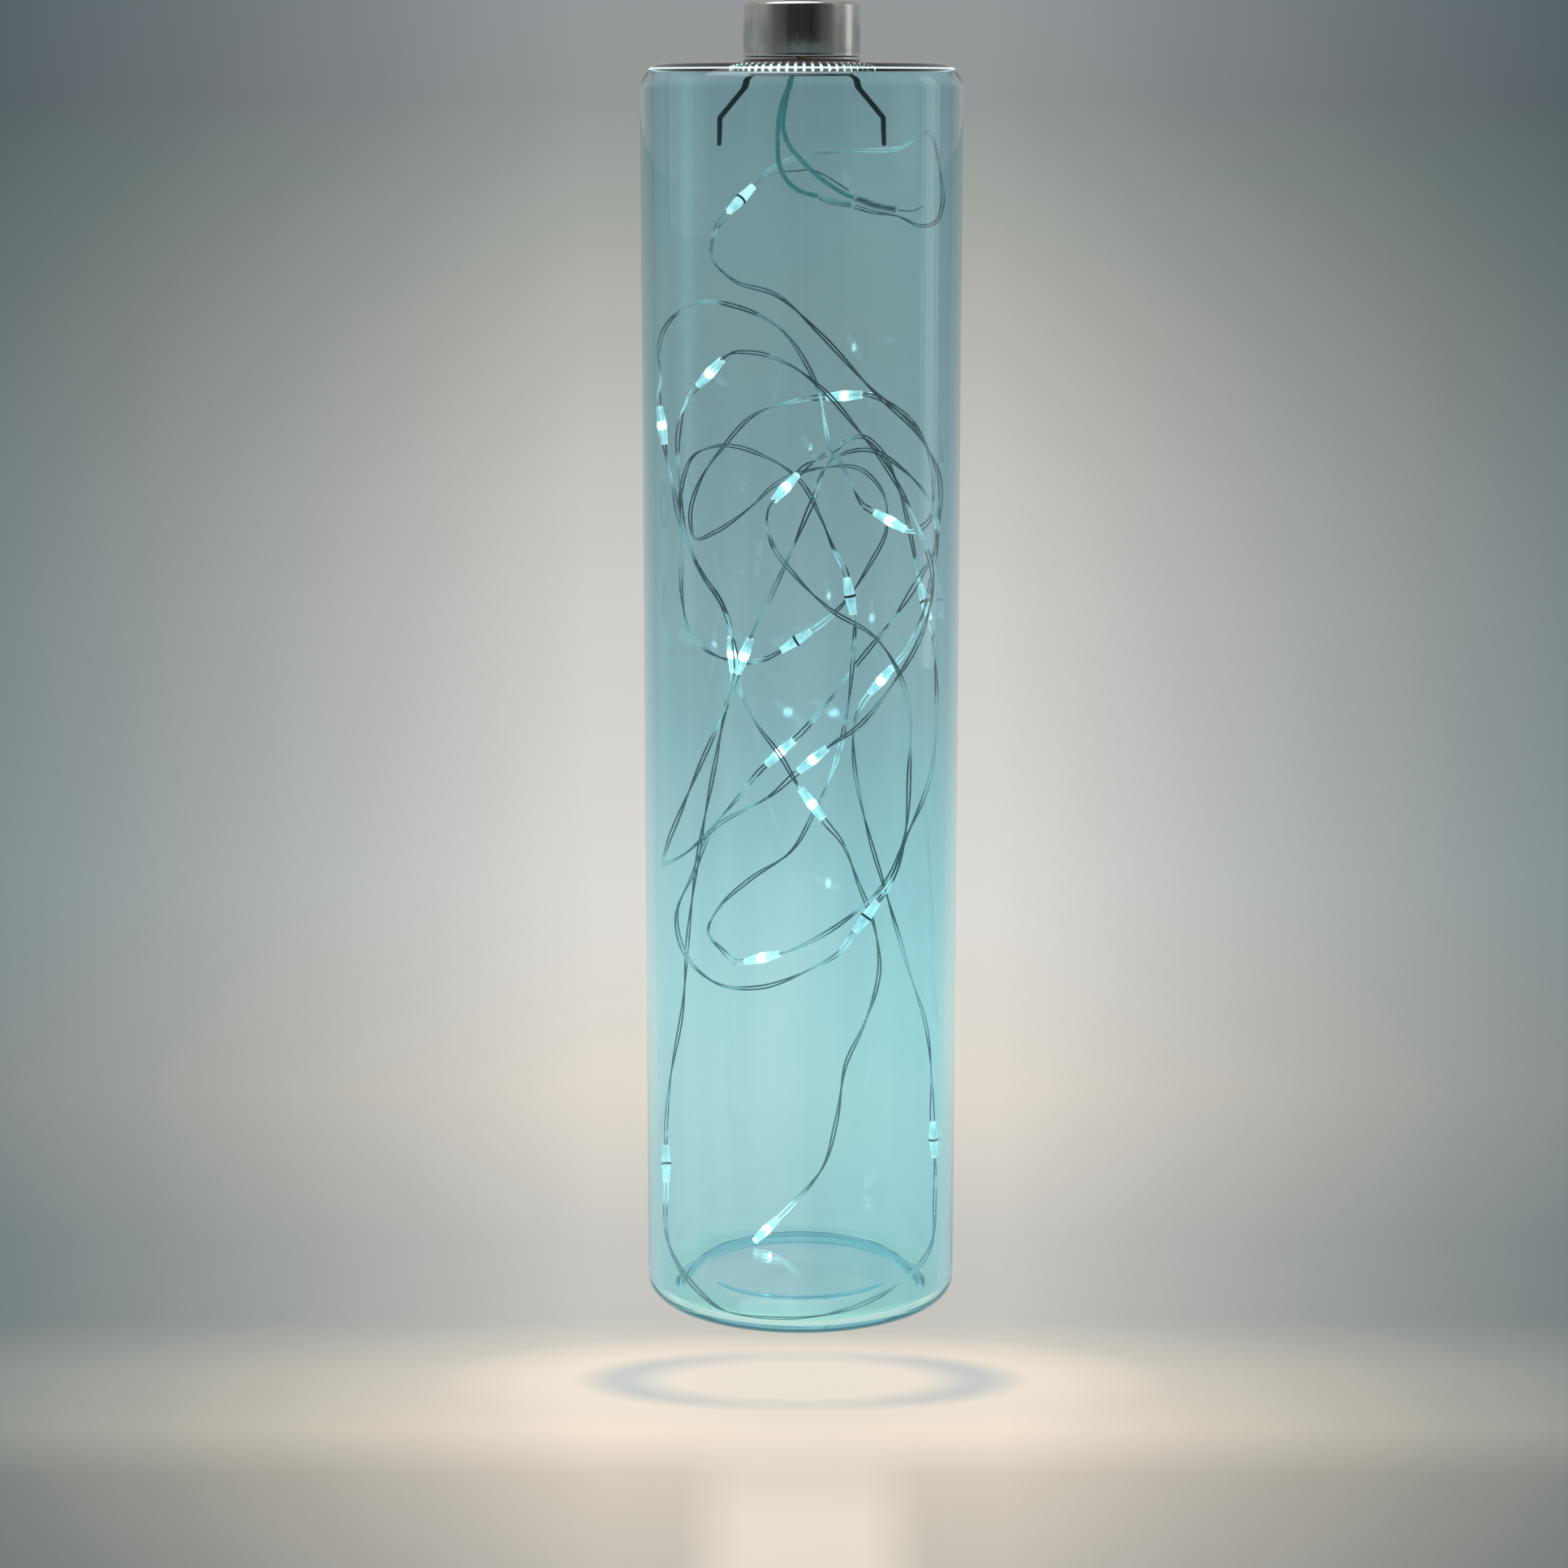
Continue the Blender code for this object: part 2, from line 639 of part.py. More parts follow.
def make_legs():
    for side, name in ((-1.0, "left"), (1.0, "right")):
        axis = Vector((side * leg_pin_offset, 0.0, leg_pin_z))
        points = [Vector((side * point.x, point.y, point.z)) - axis for point in leg_path()]
        leg = wire(f"spring_leg_{name}", points, leg_wire_radius, spring_steel())
        leg.location = axis


def make_grommet():
    profile = [
        (0.0, grommet_head_top),
        (grommet_head_radius, grommet_head_top),
        (grommet_head_radius, grommet_head_bottom),
        (grommet_radius, grommet_head_bottom),
        (grommet_radius, plug_bottom + grommet_chamfer),
        (grommet_radius - grommet_chamfer, plug_bottom),
        (0.0, plug_bottom),
    ]
    grommet = turned("lead_grommet", profile, grey_rubber(), grommet_sides)
    grommet.location.x = grommet_offset
    for side, name in ((-1.0, "a"), (1.0, "b")):
        place = (grommet_offset, side * lead_spacing / 2.0, plug_bottom)
        bore = lead_radius + lead_bore_gap
        cut(grommet, cylinder(f"lead_cutter_{name}", bore, 3.0 * plug_depth, place, sides=pin_sides))


def make_tray():
    """The cup that holds both cells, with a notch and a floor slot for the feed strip, and pegs for the board."""
    profile = [
        (0.0, tray_floor_top),
        (tray_inner_radius, tray_floor_top),
        (tray_inner_radius, tray_top),
        (tray_radius, tray_top),
        (tray_radius, tray_z),
        (0.0, tray_z),
    ]
    tray = turned("battery_tray", profile, white_plastic(), round_sides)
    notch_width = strip_width + 2.0 * side_gap
    notch_inner = tray_inner_radius - side_gap
    notch_outer = tray_radius + cutter_overshoot
    notch_height = 2.0 * (tray_top - tray_z + cutter_overshoot)
    notch_size = (notch_width, notch_outer - notch_inner, notch_height)
    cut(tray, box("notch_cutter", notch_size, (0.0, -(notch_inner + notch_outer) / 2.0, tray_top)))
    slot_size = (notch_width, tab_slot_length, 4.0 * tray_floor)
    cut(tray, box("tab_cutter", slot_size, (0.0, tab_offset, tray_z)))
    for index, degrees in enumerate(peg_angles):
        angle = math.radians(degrees)
        middle = (tray_radius + tray_inner_radius) / 2.0
        length = board_top - tray_top + peg_sink
        place = (middle * math.cos(angle), middle * math.sin(angle), board_top - length / 2.0)
        add(tray, cylinder(f"peg_{index + 1}", peg_radius, length, place, sides=peg_sides))


def make_cell(name, bottom):
    """A coin cell: the can with its crimped edge, and the smaller lid."""
    top = bottom + cell_height
    lid_radius = cell_radius - lid_inset
    profile = [
        (0.0, top),
        (lid_radius - cell_edge, top),
        (lid_radius, top - cell_edge / 2.0),
        (lid_radius + cell_edge, top - lid_rise),
        (cell_radius - cell_crimp, top - lid_rise),
        (cell_radius, top - lid_rise - cell_crimp),
        (cell_radius, bottom + cell_edge),
        (cell_radius - cell_edge, bottom),
        (0.0, bottom),
    ]
    turned(name, profile, cell_steel(), cell_sides)


def make_contacts():
    """The spring plate under the cells, with its tab through the tray floor, and the plate above them."""
    profile = disc_profile(contact_radius, lower_contact_z, lower_contact_z + contact_thickness)
    lower = turned("contact_negative", profile, contact_brass(), contact_sides)
    tab_bottom = tray_z - stack_gap / 2.0
    tab_height = lower_contact_z + contact_thickness / 2.0 - tab_bottom
    tab_place = (0.0, tab_offset, tab_bottom + tab_height / 2.0)
    add(lower, box("contact_tab", (strip_width, contact_thickness, tab_height), tab_place))
    profile = disc_profile(contact_radius, upper_contact_z, upper_contact_z + contact_thickness)
    turned("contact_positive", profile, contact_brass(), contact_sides)


def make_feed_strip():
    """The strip from the wiring recess, out under the tray and up its notch to the board."""
    half = strip_width / 2.0
    out = -(tray_radius - tray_wall / 2.0)
    low = recess_bottom + stack_gap
    start = -(grommet_head_radius + strip_start_gap)
    corners = ((start, low), (out, low), (out, tray_top - stack_gap))
    mesh = bpy.data.meshes.new("feed_strip")
    form = bmesh.new()
    rows = []
    for along, height in corners:
        rows.append([form.verts.new((side * half, along, height)) for side in (-1.0, 1.0)])
    for first, second in zip(rows, rows[1:]):
        form.faces.new((first[0], first[1], second[1], second[0]))
    form.to_mesh(mesh)
    form.free()
    strip = put(bpy.data.objects.new("feed_strip", mesh), contact_brass())
    wall = strip.modifiers.new("thickness", "SOLIDIFY")
    wall.thickness = strip_thickness
    wall.offset = 0.0
    wall.use_even_offset = True


def make_board():
    board = turned("circuit_board", disc_profile(tray_radius, board_z, board_top), board_green(), round_sides)
    for index, degrees in enumerate(peg_angles):
        angle = math.radians(degrees)
        middle = (tray_radius + tray_inner_radius) / 2.0
        place = (middle * math.cos(angle), middle * math.sin(angle), board_z)
        hole = peg_radius + stack_gap
        cut(board, cylinder(f"peg_cutter_{index + 1}", hole, 4.0 * board_thickness, place, sides=peg_sides))


def make_resistor():
    place = (*resistor_place, board_top + stack_gap + resistor_size[2] / 2.0)
    box("resistor", resistor_size, place, black_plastic(), resistor_edge)


def make_switch():
    """The switch housing with its guide, and the slider, whose knob comes up through the cap."""
    place = (0.0, switch_offset, switch_z + switch_height / 2.0)
    size = (switch_length, switch_width, switch_height)
    body = box("switch_body", size, place, nickel())
    guide_floor = switch_z + switch_wall
    guide_size = (
        shoe_length + switch_travel + 2.0 * side_gap,
        shoe_width + 2.0 * side_gap,
        2.0 * (switch_height - switch_wall),
    )
    cut(body, box("guide_cutter", guide_size, (0.0, switch_offset, switch_top)))
    rest_x = switch_travel / 2.0
    shoe_z = guide_floor + stack_gap
    shoe_place = (rest_x, switch_offset, shoe_z + shoe_height / 2.0)
    slider = box("switch_slider", (shoe_length, shoe_width, shoe_height), shoe_place, white_plastic())
    knob_bottom = shoe_z + shoe_height / 2.0
    knob_height = cap_top + knob_rise - knob_bottom
    knob_place = (rest_x, switch_offset, knob_bottom + knob_height / 2.0)
    add(slider, box("knob", (knob_length, knob_width, knob_height), knob_place))


def cap_profile():
    """The cup, upside down: the rounded top edge, the outer side down to the rolled lip, then up the inner wall."""
    edge = cap_edge_radius
    inner_edge = edge - cap_wall
    lip = cap_bottom + cap_lip_height
    profile = [(0.0, cap_top)]
    profile += arc((cap_radius - edge, cap_top - edge), edge, 90.0, 0.0, 5)
    profile += [(cap_radius, lip + cap_lip_step)]
    profile += [(cap_radius - cap_lip_depth, lip)]
    profile += [(cap_radius - cap_lip_depth, lip - cap_lip_step)]
    profile += [(cap_radius, lip - 2.0 * cap_lip_step)]
    profile += [(cap_radius, cap_bottom + cap_lip_step)]
    profile += [(cap_radius - cap_lip_step, cap_bottom)]
    profile += [(cap_inner_radius, cap_bottom)]
    profile += arc((cap_inner_radius - inner_edge, cap_ceiling - inner_edge), inner_edge, 0.0, 90.0, 2)
    profile += [(0.0, cap_ceiling)]
    return profile


def make_cap():
    cap = turned("cap_shell", cap_profile(), nickel(), cap_sides)
    slot_size = (knob_length + switch_travel + 2.0 * side_gap, knob_width + 2.0 * side_gap, 4.0 * cap_wall)
    cut(cap, box("knob_slot_cutter", slot_size, (0.0, switch_offset, cap_top)))
    for side, name in ((-1.0, "front"), (1.0, "back")):
        place = (0.0, side * bracket_foot, cap_top)
        hole = rivet_radius + turning_gap
        cut(cap, cylinder(f"rivet_hole_{name}", hole, 4.0 * cap_wall, place, sides=rivet_sides))


def make_bracket():
    """The strap over the loop's bar: two feet and an arch, with a rivet hole in each foot."""
    radius = arch_radius + bracket_thickness / 2.0
    middle_z = strap_z + bracket_thickness / 2.0
    foot_end = bracket_foot + bracket_foot_margin
    line = [(-foot_end, middle_z), (-radius, middle_z)]
    line += arc((0.0, bar_z), radius, 180.0, 0.0, 10)
    line += [(radius, middle_z), (foot_end, middle_z)]
    mesh = bpy.data.meshes.new("hanger_bracket")
    form = bmesh.new()
    rows = []
    for along, height in line:
        rows.append([form.verts.new((side * bracket_width / 2.0, along, height)) for side in (-1.0, 1.0)])
    for first, second in zip(rows, rows[1:]):
        form.faces.new((first[0], first[1], second[1], second[0]))
    form.to_mesh(mesh)
    form.free()
    strap = put(bpy.data.objects.new("hanger_bracket", mesh), nickel())
    wall = strap.modifiers.new("thickness", "SOLIDIFY")
    wall.thickness = bracket_thickness
    wall.offset = 0.0
    wall.use_even_offset = True
    for side, name in ((-1.0, "front"), (1.0, "back")):
        place = (0.0, side * bracket_foot, strap_z)
        hole = rivet_radius + turning_gap
        cut(strap, cylinder(f"strap_hole_{name}", hole, 6.0 * bracket_thickness, place, sides=rivet_sides))


def make_rivets():
    """Rivets with a domed head on the strap and a flat tail under the cap."""
    head_bottom = strap_z + bracket_thickness + stack_gap
    tail_top = cap_ceiling - stack_gap
    for side, name in ((-1.0, "front"), (1.0, "back")):
        profile = [(0.0, head_bottom + rivet_head_height)]
        for out, up in rivet_head_bends:
            profile.append((out * rivet_head_radius, head_bottom + up * rivet_head_height))
        profile += [(rivet_head_radius, head_bottom), (rivet_radius, head_bottom)]
        profile += [(rivet_radius, tail_top), (rivet_tail_radius, tail_top)]
        profile += [(rivet_tail_radius, tail_top - rivet_tail_thickness), (0.0, tail_top - rivet_tail_thickness)]
        rivet = turned(f"bracket_rivet_{name}", profile, nickel(), rivet_sides)
        rivet.location.y = side * bracket_foot


def make_loop():
    """A closed loop of wire with a straight bar in the bracket and a half round top."""
    half = loop_width / 2.0
    corner = loop_corner_radius
    points = [Vector(((half - corner) * step / 4.0, 0.0, 0.0)) for step in range(-3, 4)]
    right = arc((half - corner, corner), corner, -90.0, 0.0, 4)
    top = arc((0.0, loop_height - half), half, 0.0, 180.0, 18)
    left = arc((corner - half, corner), corner, 180.0, 270.0, 4)
    points += [Vector((across, 0.0, height)) for across, height in right + top + left]
    curve = bpy.data.curves.new("hanging_loop", "CURVE")
    curve.dimensions = "3D"
    curve.bevel_depth = loop_wire_radius
    curve.bevel_resolution = 2
    spline = curve.splines.new("POLY")
    spline.points.add(len(points) - 1)
    for place, point in zip(spline.points, points):
        place.co = (*point, 1.0)
    spline.use_cyclic_u = True
    loop = put(bpy.data.objects.new("hanging_loop", curve), nickel())
    loop.location.z = bar_z


def make_leads():
    """Both leads from the grommet to their sleeves, the sleeves, the return wire and the tail of the splice."""
    routes = (("a", -1.0, lead_a_route, sleeve_a_end), ("b", 1.0, lead_b_route, sleeve_b_end))
    down = Vector((0.0, 0.0, -1.0))
    for name, side, route, sleeve_end in routes:
        top = Vector((grommet_offset, side * lead_spacing / 2.0, flange_top))
        exit_point = Vector((grommet_offset, side * lead_spacing / 2.0, plug_bottom - lead_exit_drop))
        points = [exit_point] + in_metres(route)
        end = route_point(sleeve_end)
        way = (end - points[-1]).normalized()
        path = [top, Vector((top.x, top.y, plug_bottom + lead_exit_drop))]
        path += smooth_run(points, down, way, lead_step)
        wire(f"lead_wire_{name}", path, lead_radius, lead_insulation())
        start = points[-1] + way * end_gap
        middle = (start + end) / 2.0
        sag = Vector((0.0, 0.0, -sleeve_sag))
        wire(f"heat_shrink_{name}", [start, middle + sag, end], sleeve_radius, clear_sleeve())
    points = in_metres(return_route)
    first_way = (points[1] - points[0]).normalized()
    last_way = (points[-1] - points[-2]).normalized()
    path = smooth_run(points, first_way, last_way, return_wire_step)
    wire("return_wire", path, return_wire_radius, silver_wire(), 1)
    points = in_metres(tail_route)
    wire("splice_tail", points, return_wire_radius, silver_wire(), 1)


def bead_ends(first, last):
    """Where the wire runs straight through a bead: from just before it to just past it."""
    first = route_point(first)
    last = route_point(last)
    way = (last - first).normalized()
    middle = (first + last) / 2.0
    reach = bead_length / 2.0 + bead_straight
    return middle - way * reach, middle + way * reach


def string_path():
    """The whole wire: a smooth run to each bead, then straight through it."""
    path = []
    before = None
    for points, first, last in string_route:
        run = in_metres(points)
        entry, leave = bead_ends(first, last)
        way = (leave - entry).normalized()
        if before:
            run = [before[1]] + run
            first_way = (before[1] - before[0]).normalized()
        else:
            first_way = (run[1] - run[0]).normalized()
        path += smooth_run(run + [entry], first_way, way, wire_step)
        before = (entry, leave)
    way = (before[1] - before[0]).normalized()
    path.append(before[1] - way * (bead_straight + wire_end_inset))
    return path


def least_gap(path, radius):
    """The least clear distance between stretches of the wire that lie apart along it."""
    steps = [(second - first).length for first, second in zip(path, path[1:])]
    along = [0.0]
    for step in steps:
        along.append(along[-1] + step)
    fine = []
    for index, step in enumerate(steps):
        pieces = max(1, round(step / gap_check_step))
        for piece in range(pieces):
            share = piece / pieces
            fine.append((along[index] + step * share, path[index].lerp(path[index + 1], share)))
    least = 1.0
    for index, (place, point) in enumerate(fine):
        for other_place, other in fine[index + 1:]:
            if other_place - place > gap_check_apart:
                least = min(least, (other - point).length)
    return least - 2.0 * radius, along[-1]


def make_string():
    path = string_path()
    wire("string_wire", path, wire_radius, silver_wire(), 1)
    gap, length = least_gap(path, wire_radius)
    print(f"string: {length:.3f} m of wire, least gap to itself {gap / mm:.2f} mm")


def make_beads():
    """The light beads: two swellings with a waist, and a bore for the wire. All share one mesh."""
    half = bead_length / 2.0
    profile = [
        (bead_bore_radius, -half),
        (bead_bore_radius, half),
        (bead_end_radius, half),
        (bead_radius, bead_swell[0] * half),
        (bead_radius, bead_swell[1] * half),
        (bead_waist_radius, 0.0),
        (bead_radius, -bead_swell[1] * half),
        (bead_radius, -bead_swell[0] * half),
        (bead_end_radius, -half),
    ]
    pattern = turned("bead_pattern", profile, bead_resin(), bead_sides, closed=True)
    solved = pattern.evaluated_get(bpy.context.evaluated_depsgraph_get())
    mesh = bpy.data.meshes.new_from_object(solved)
    mesh.name = "led_bead"
    bpy.data.objects.remove(pattern, do_unlink=True)
    for index, (_, first, last) in enumerate(string_route):
        entry, leave = bead_ends(first, last)
        bead = bpy.data.objects.new(f"led_bead_{index + 1:02d}", mesh)
        names["light"].objects.link(bead)
        bead.location = (entry + leave) / 2.0
        bead.rotation_mode = "QUATERNION"
        bead.rotation_quaternion = (leave - entry).to_track_quat("Z", "Y")


def main():
    clear_scene()
    names["light"] = new_collection("battery_pendant_light")
    names["cutters"] = new_collection("cutters")
    make_glass()
    make_gasket()
    make_holder()
    make_leg_pins()
    make_legs()
    make_grommet()
    make_tray()
    make_cell("coin_cell_lower", lower_cell_z)
    make_cell("coin_cell_upper", upper_cell_z)
    make_contacts()
    make_feed_strip()
    make_board()
    make_resistor()
    make_switch()
    make_cap()
    make_bracket()
    make_rivets()
    make_loop()
    make_leads()
    make_string()
    make_beads()


main()
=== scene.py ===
import math

import bmesh
import bpy
from mathutils import Matrix, Quaternion, Vector


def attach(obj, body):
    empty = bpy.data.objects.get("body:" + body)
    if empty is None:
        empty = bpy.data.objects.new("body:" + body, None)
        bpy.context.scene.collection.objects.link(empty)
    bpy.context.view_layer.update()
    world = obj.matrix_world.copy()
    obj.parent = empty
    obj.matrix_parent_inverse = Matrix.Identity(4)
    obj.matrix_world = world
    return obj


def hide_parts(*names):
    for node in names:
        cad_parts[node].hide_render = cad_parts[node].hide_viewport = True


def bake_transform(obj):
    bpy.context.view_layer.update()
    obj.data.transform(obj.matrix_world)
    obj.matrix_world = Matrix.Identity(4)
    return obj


mm = 0.001

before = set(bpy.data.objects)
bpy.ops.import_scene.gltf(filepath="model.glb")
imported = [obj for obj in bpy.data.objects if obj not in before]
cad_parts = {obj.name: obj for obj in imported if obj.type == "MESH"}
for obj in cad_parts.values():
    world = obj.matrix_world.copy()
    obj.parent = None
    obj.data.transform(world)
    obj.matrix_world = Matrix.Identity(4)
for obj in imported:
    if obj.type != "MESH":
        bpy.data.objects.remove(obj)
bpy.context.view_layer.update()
scene = bpy.context.scene
print("frame loaded")


# Camera

cameraView = {
    "place": (-0.0036, -0.7475, 0.254),
    "pitch": 10.8,  # degrees below the horizon
    "lens": 82.55,
    "sensor": 36.0,
    "nearest": 0.05,
}


def addCamera(values):
    camera = bpy.data.objects.new("camera", bpy.data.cameras.new("camera"))
    scene.collection.objects.link(camera)
    camera.data.lens = values["lens"]
    camera.data.sensor_width = values["sensor"]
    camera.data.clip_start = values["nearest"]
    camera.location = values["place"]
    camera.rotation_euler = (math.radians(90.0 - values["pitch"]), 0.0, 0.0)
    scene.camera = camera


addCamera(cameraView)
print("camera placed")


# Materials

def fill(made, socket, value):
    # Gives a socket a value, or joins it to the output of another node
    if isinstance(value, bpy.types.NodeSocket):
        made.node_tree.links.new(value, socket)
    elif socket.type == "RGBA":
        socket.default_value = (*value, 1.0)
    else:
        socket.default_value = value


def feed(made, value, socket):
    fill(made, made.node_tree.nodes["Principled BSDF"].inputs[socket], value)


def newMaterial(name, sockets):
    made = bpy.data.materials.new(name)
    made.use_nodes = True
    for socket, value in sockets.items():
        feed(made, value, socket)
    return made


def addNode(made, kind, sockets=None, **settings):
    node = made.node_tree.nodes.new("ShaderNode" + kind)
    for name, value in settings.items():
        setattr(node, name, value)
    for socket, value in (sockets or {}).items():
        fill(made, node.inputs[socket], value)
    return node


def mathNode(made, operation, *values):
    return addNode(made, "Math", dict(enumerate(values)), operation=operation).outputs[0]


def ownPlace(made):
    # The piece's own coordinates, as one vector and as its parts
    place = addNode(made, "TexCoord").outputs["Object"]
    return place, addNode(made, "SeparateXYZ", {"Vector": place}).outputs


def awayFromAxis(made, place, stretch=(1.0, 1.0, 0.0), shift=(0.0, 0.0, 0.0)):
    flat = addNode(made, "VectorMath", {0: place, 1: stretch, 2: shift}, operation="MULTIPLY_ADD")
    return addNode(made, "VectorMath", {0: flat.outputs["Vector"]}, operation="LENGTH").outputs["Value"]


def noiseOn(made, scale, stretch=(1.0, 1.0, 1.0), detail=4.0):
    # Noise on the piece's own coordinates, drawn out along an axis by a small stretch value
    place = addNode(made, "TexCoord").outputs["Object"]
    place = addNode(made, "Mapping", {"Vector": place, "Scale": stretch}).outputs["Vector"]
    noise = addNode(made, "TexNoise", {"Vector": place, "Scale": scale, "Detail": detail, "Roughness": 0.55})
    return noise.outputs["Fac"]


def spread(made, value, low, high, fromLow=0.3, fromHigh=0.7):
    # Takes one range of a value to another, and holds it at its ends
    sockets = {"Value": value, "From Min": fromLow, "From Max": fromHigh, "To Min": low, "To Max": high}
    return addNode(made, "MapRange", sockets).outputs["Result"]


def mixColours(made, share, first, second, blend="MIX"):
    sockets = {0: share, 6: first, 7: second}
    return addNode(made, "Mix", sockets, data_type="RGBA", blend_type=blend).outputs[2]


def addBump(made, height, strength, distance):
    bump = addNode(made, "Bump", {"Height": height, "Strength": strength, "Distance": distance})
    feed(made, bump.outputs["Normal"], "Normal")


def finishMaterial(name, sockets, low, high, scale, roughness=None, bump=None, stretch=(1.0, 1.0, 1.0)):
    # A surface whose colour runs between two tones, with roughness and fine relief from the same kind of noise
    made = newMaterial(name, sockets)
    grain = noiseOn(made, scale, stretch)
    feed(made, mixColours(made, spread(made, grain, 0.0, 1.0), low, high), "Base Color")
    if roughness:
        feed(made, spread(made, noiseOn(made, scale * 1.7, stretch), *roughness), "Roughness")
    if bump:
        addBump(made, noiseOn(made, scale * 3.0, stretch), *bump)
    return made


# Shapes

def arc(centre, radius, start, stop, steps):
    # Points of an arc, from angle start to stop in degrees, both ends included
    points = []
    for step in range(steps + 1):
        angle = math.radians(start + (stop - start) * step / steps)
        points.append((centre[0] + radius * math.cos(angle), centre[1] + radius * math.sin(angle)))
    return points


def spinShape(profile, steps, closed=False):
    # A turned form from a list of radius and height
    form = bmesh.new()
    corners = [form.verts.new((radius, 0.0, height)) for radius, height in profile]
    edges = [form.edges.new(pair) for pair in zip(corners, corners[1:])]
    if closed:
        edges.append(form.edges.new((corners[-1], corners[0])))
    bmesh.ops.spin(
        form, geom=corners + edges, cent=(0.0, 0.0, 0.0), axis=(0.0, 0.0, 1.0),
        angle=2.0 * math.pi, steps=steps, use_merge=True, use_duplicate=False,
    )
    bmesh.ops.remove_doubles(form, verts=form.verts, dist=0.002 * mm)
    bmesh.ops.dissolve_degenerate(form, edges=form.edges, dist=0.001 * mm)
    bmesh.ops.recalc_face_normals(form, faces=form.faces)
    return form


def roundEdges(form, edges, offset, segments):
    bmesh.ops.bevel(
        form, geom=edges, offset=offset, segments=segments, profile=0.5, material=-1, affect="EDGES",
    )


def toPiece(form, name, look, body, replaced=(), sharp=35.0):
    # Turns a form into a piece of the scene that rides on a body
    mesh = bpy.data.meshes.new(name)
    form.to_mesh(mesh)
    form.free()
    return meshPiece(mesh, name, look, body, replaced, sharp)


def meshPiece(mesh, name, look, body, replaced=(), sharp=35.0):
    mesh.name = name
    mesh.shade_smooth()
    mesh.set_sharp_from_angle(angle=math.radians(sharp))
    mesh.materials.clear()
    mesh.materials.append(look)
    piece = bpy.data.objects.new(name, mesh)
    scene.collection.objects.link(piece)
    if body:
        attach(piece, body)
    if replaced:
        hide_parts(*replaced)
    return piece


def tubeMesh(name, points, radius, rings=3, closed=False, roundEnds=False):
    # A round tube through the points, as a mesh
    curve = bpy.data.curves.new(name, "CURVE")
    curve.dimensions = "3D"
    curve.bevel_depth = radius
    curve.bevel_resolution = rings
    curve.use_fill_caps = not closed
    points = [Vector(point) for point in points]
    shares = [1.0] * len(points)
    if roundEnds:
        for end, inner in ((0, 1), (-1, -2)):
            way = (points[end] - points[inner]).normalized()
            tip = points[end].copy()
            extra = [(tip - way * radius * (1.0 - math.sin(a)), math.cos(a)) for a in (0.5, 0.95, 1.3)]
            if end == 0:
                points = [place for place, _ in reversed(extra)] + points[1:]
                shares = [share for _, share in reversed(extra)] + shares[1:]
            else:
                points = points[:-1] + [place for place, _ in extra]
                shares = shares[:-1] + [share for _, share in extra]
    spline = curve.splines.new("POLY")
    spline.points.add(len(points) - 1)
    for corner, point, share in zip(spline.points, points, shares):
        corner.co = (*point, 1.0)
        corner.radius = share
    spline.use_cyclic_u = closed
    holder = bpy.data.objects.new(name, curve)
    scene.collection.objects.link(holder)
    solved = holder.evaluated_get(bpy.context.evaluated_depsgraph_get())
    mesh = bpy.data.meshes.new_from_object(solved)
    bpy.data.objects.remove(holder)
    bpy.data.curves.remove(curve)
    return mesh


def smoothRun(points, firstWay, lastWay, step):
    # Points along a smooth curve through the given ones, which leaves and arrives in the given ways
    chords = [(second - first).length for first, second in zip(points, points[1:])]
    ways = [firstWay]
    for index in range(1, len(points) - 1):
        before = (points[index] - points[index - 1]) / chords[index - 1]
        after = (points[index + 1] - points[index]) / chords[index]
        share = chords[index - 1] / (chords[index - 1] + chords[index])
        ways.append(before * (1.0 - share) + after * share)
    ways.append(lastWay)
    path = []
    for index, chord in enumerate(chords):
        pieces = max(1, round(chord / step))
        for piece in range(pieces):
            t = piece / pieces
            path.append(
                points[index] * (2.0 * t**3 - 3.0 * t**2 + 1.0)
                + ways[index] * chord * (t**3 - 2.0 * t**2 + t)
                + points[index + 1] * (3.0 * t**2 - 2.0 * t**3)
                + ways[index + 1] * chord * (t**3 - t**2)
            )
    path.append(points[-1])
    return path


def inMetres(points):
    return [Vector(point) * mm for point in points]


# String of lights

lightString = {
    "wireRadius": 0.2 * mm,
    "step": 1.6 * mm,
    "gapAtBead": 0.55 * mm,  # from the middle line to each conductor
    "gapAway": 0.33 * mm,
    "closing": 4.0 * mm,  # how far from a bead the conductors come together
    "twist": 38.0 * mm,  # length of one turn of the pair
    "beadLength": 8.0 * mm,
    "beadStraight": 0.8 * mm,
    "endInset": 0.6 * mm,
    "paintedGlowReach": 9.0 * mm,  # how far along the wires the painted glow of a bead reaches
    "paintedGlowColour": (0.55, 0.95, 0.93),
    "paintedGlowStrength": 1.0,
}

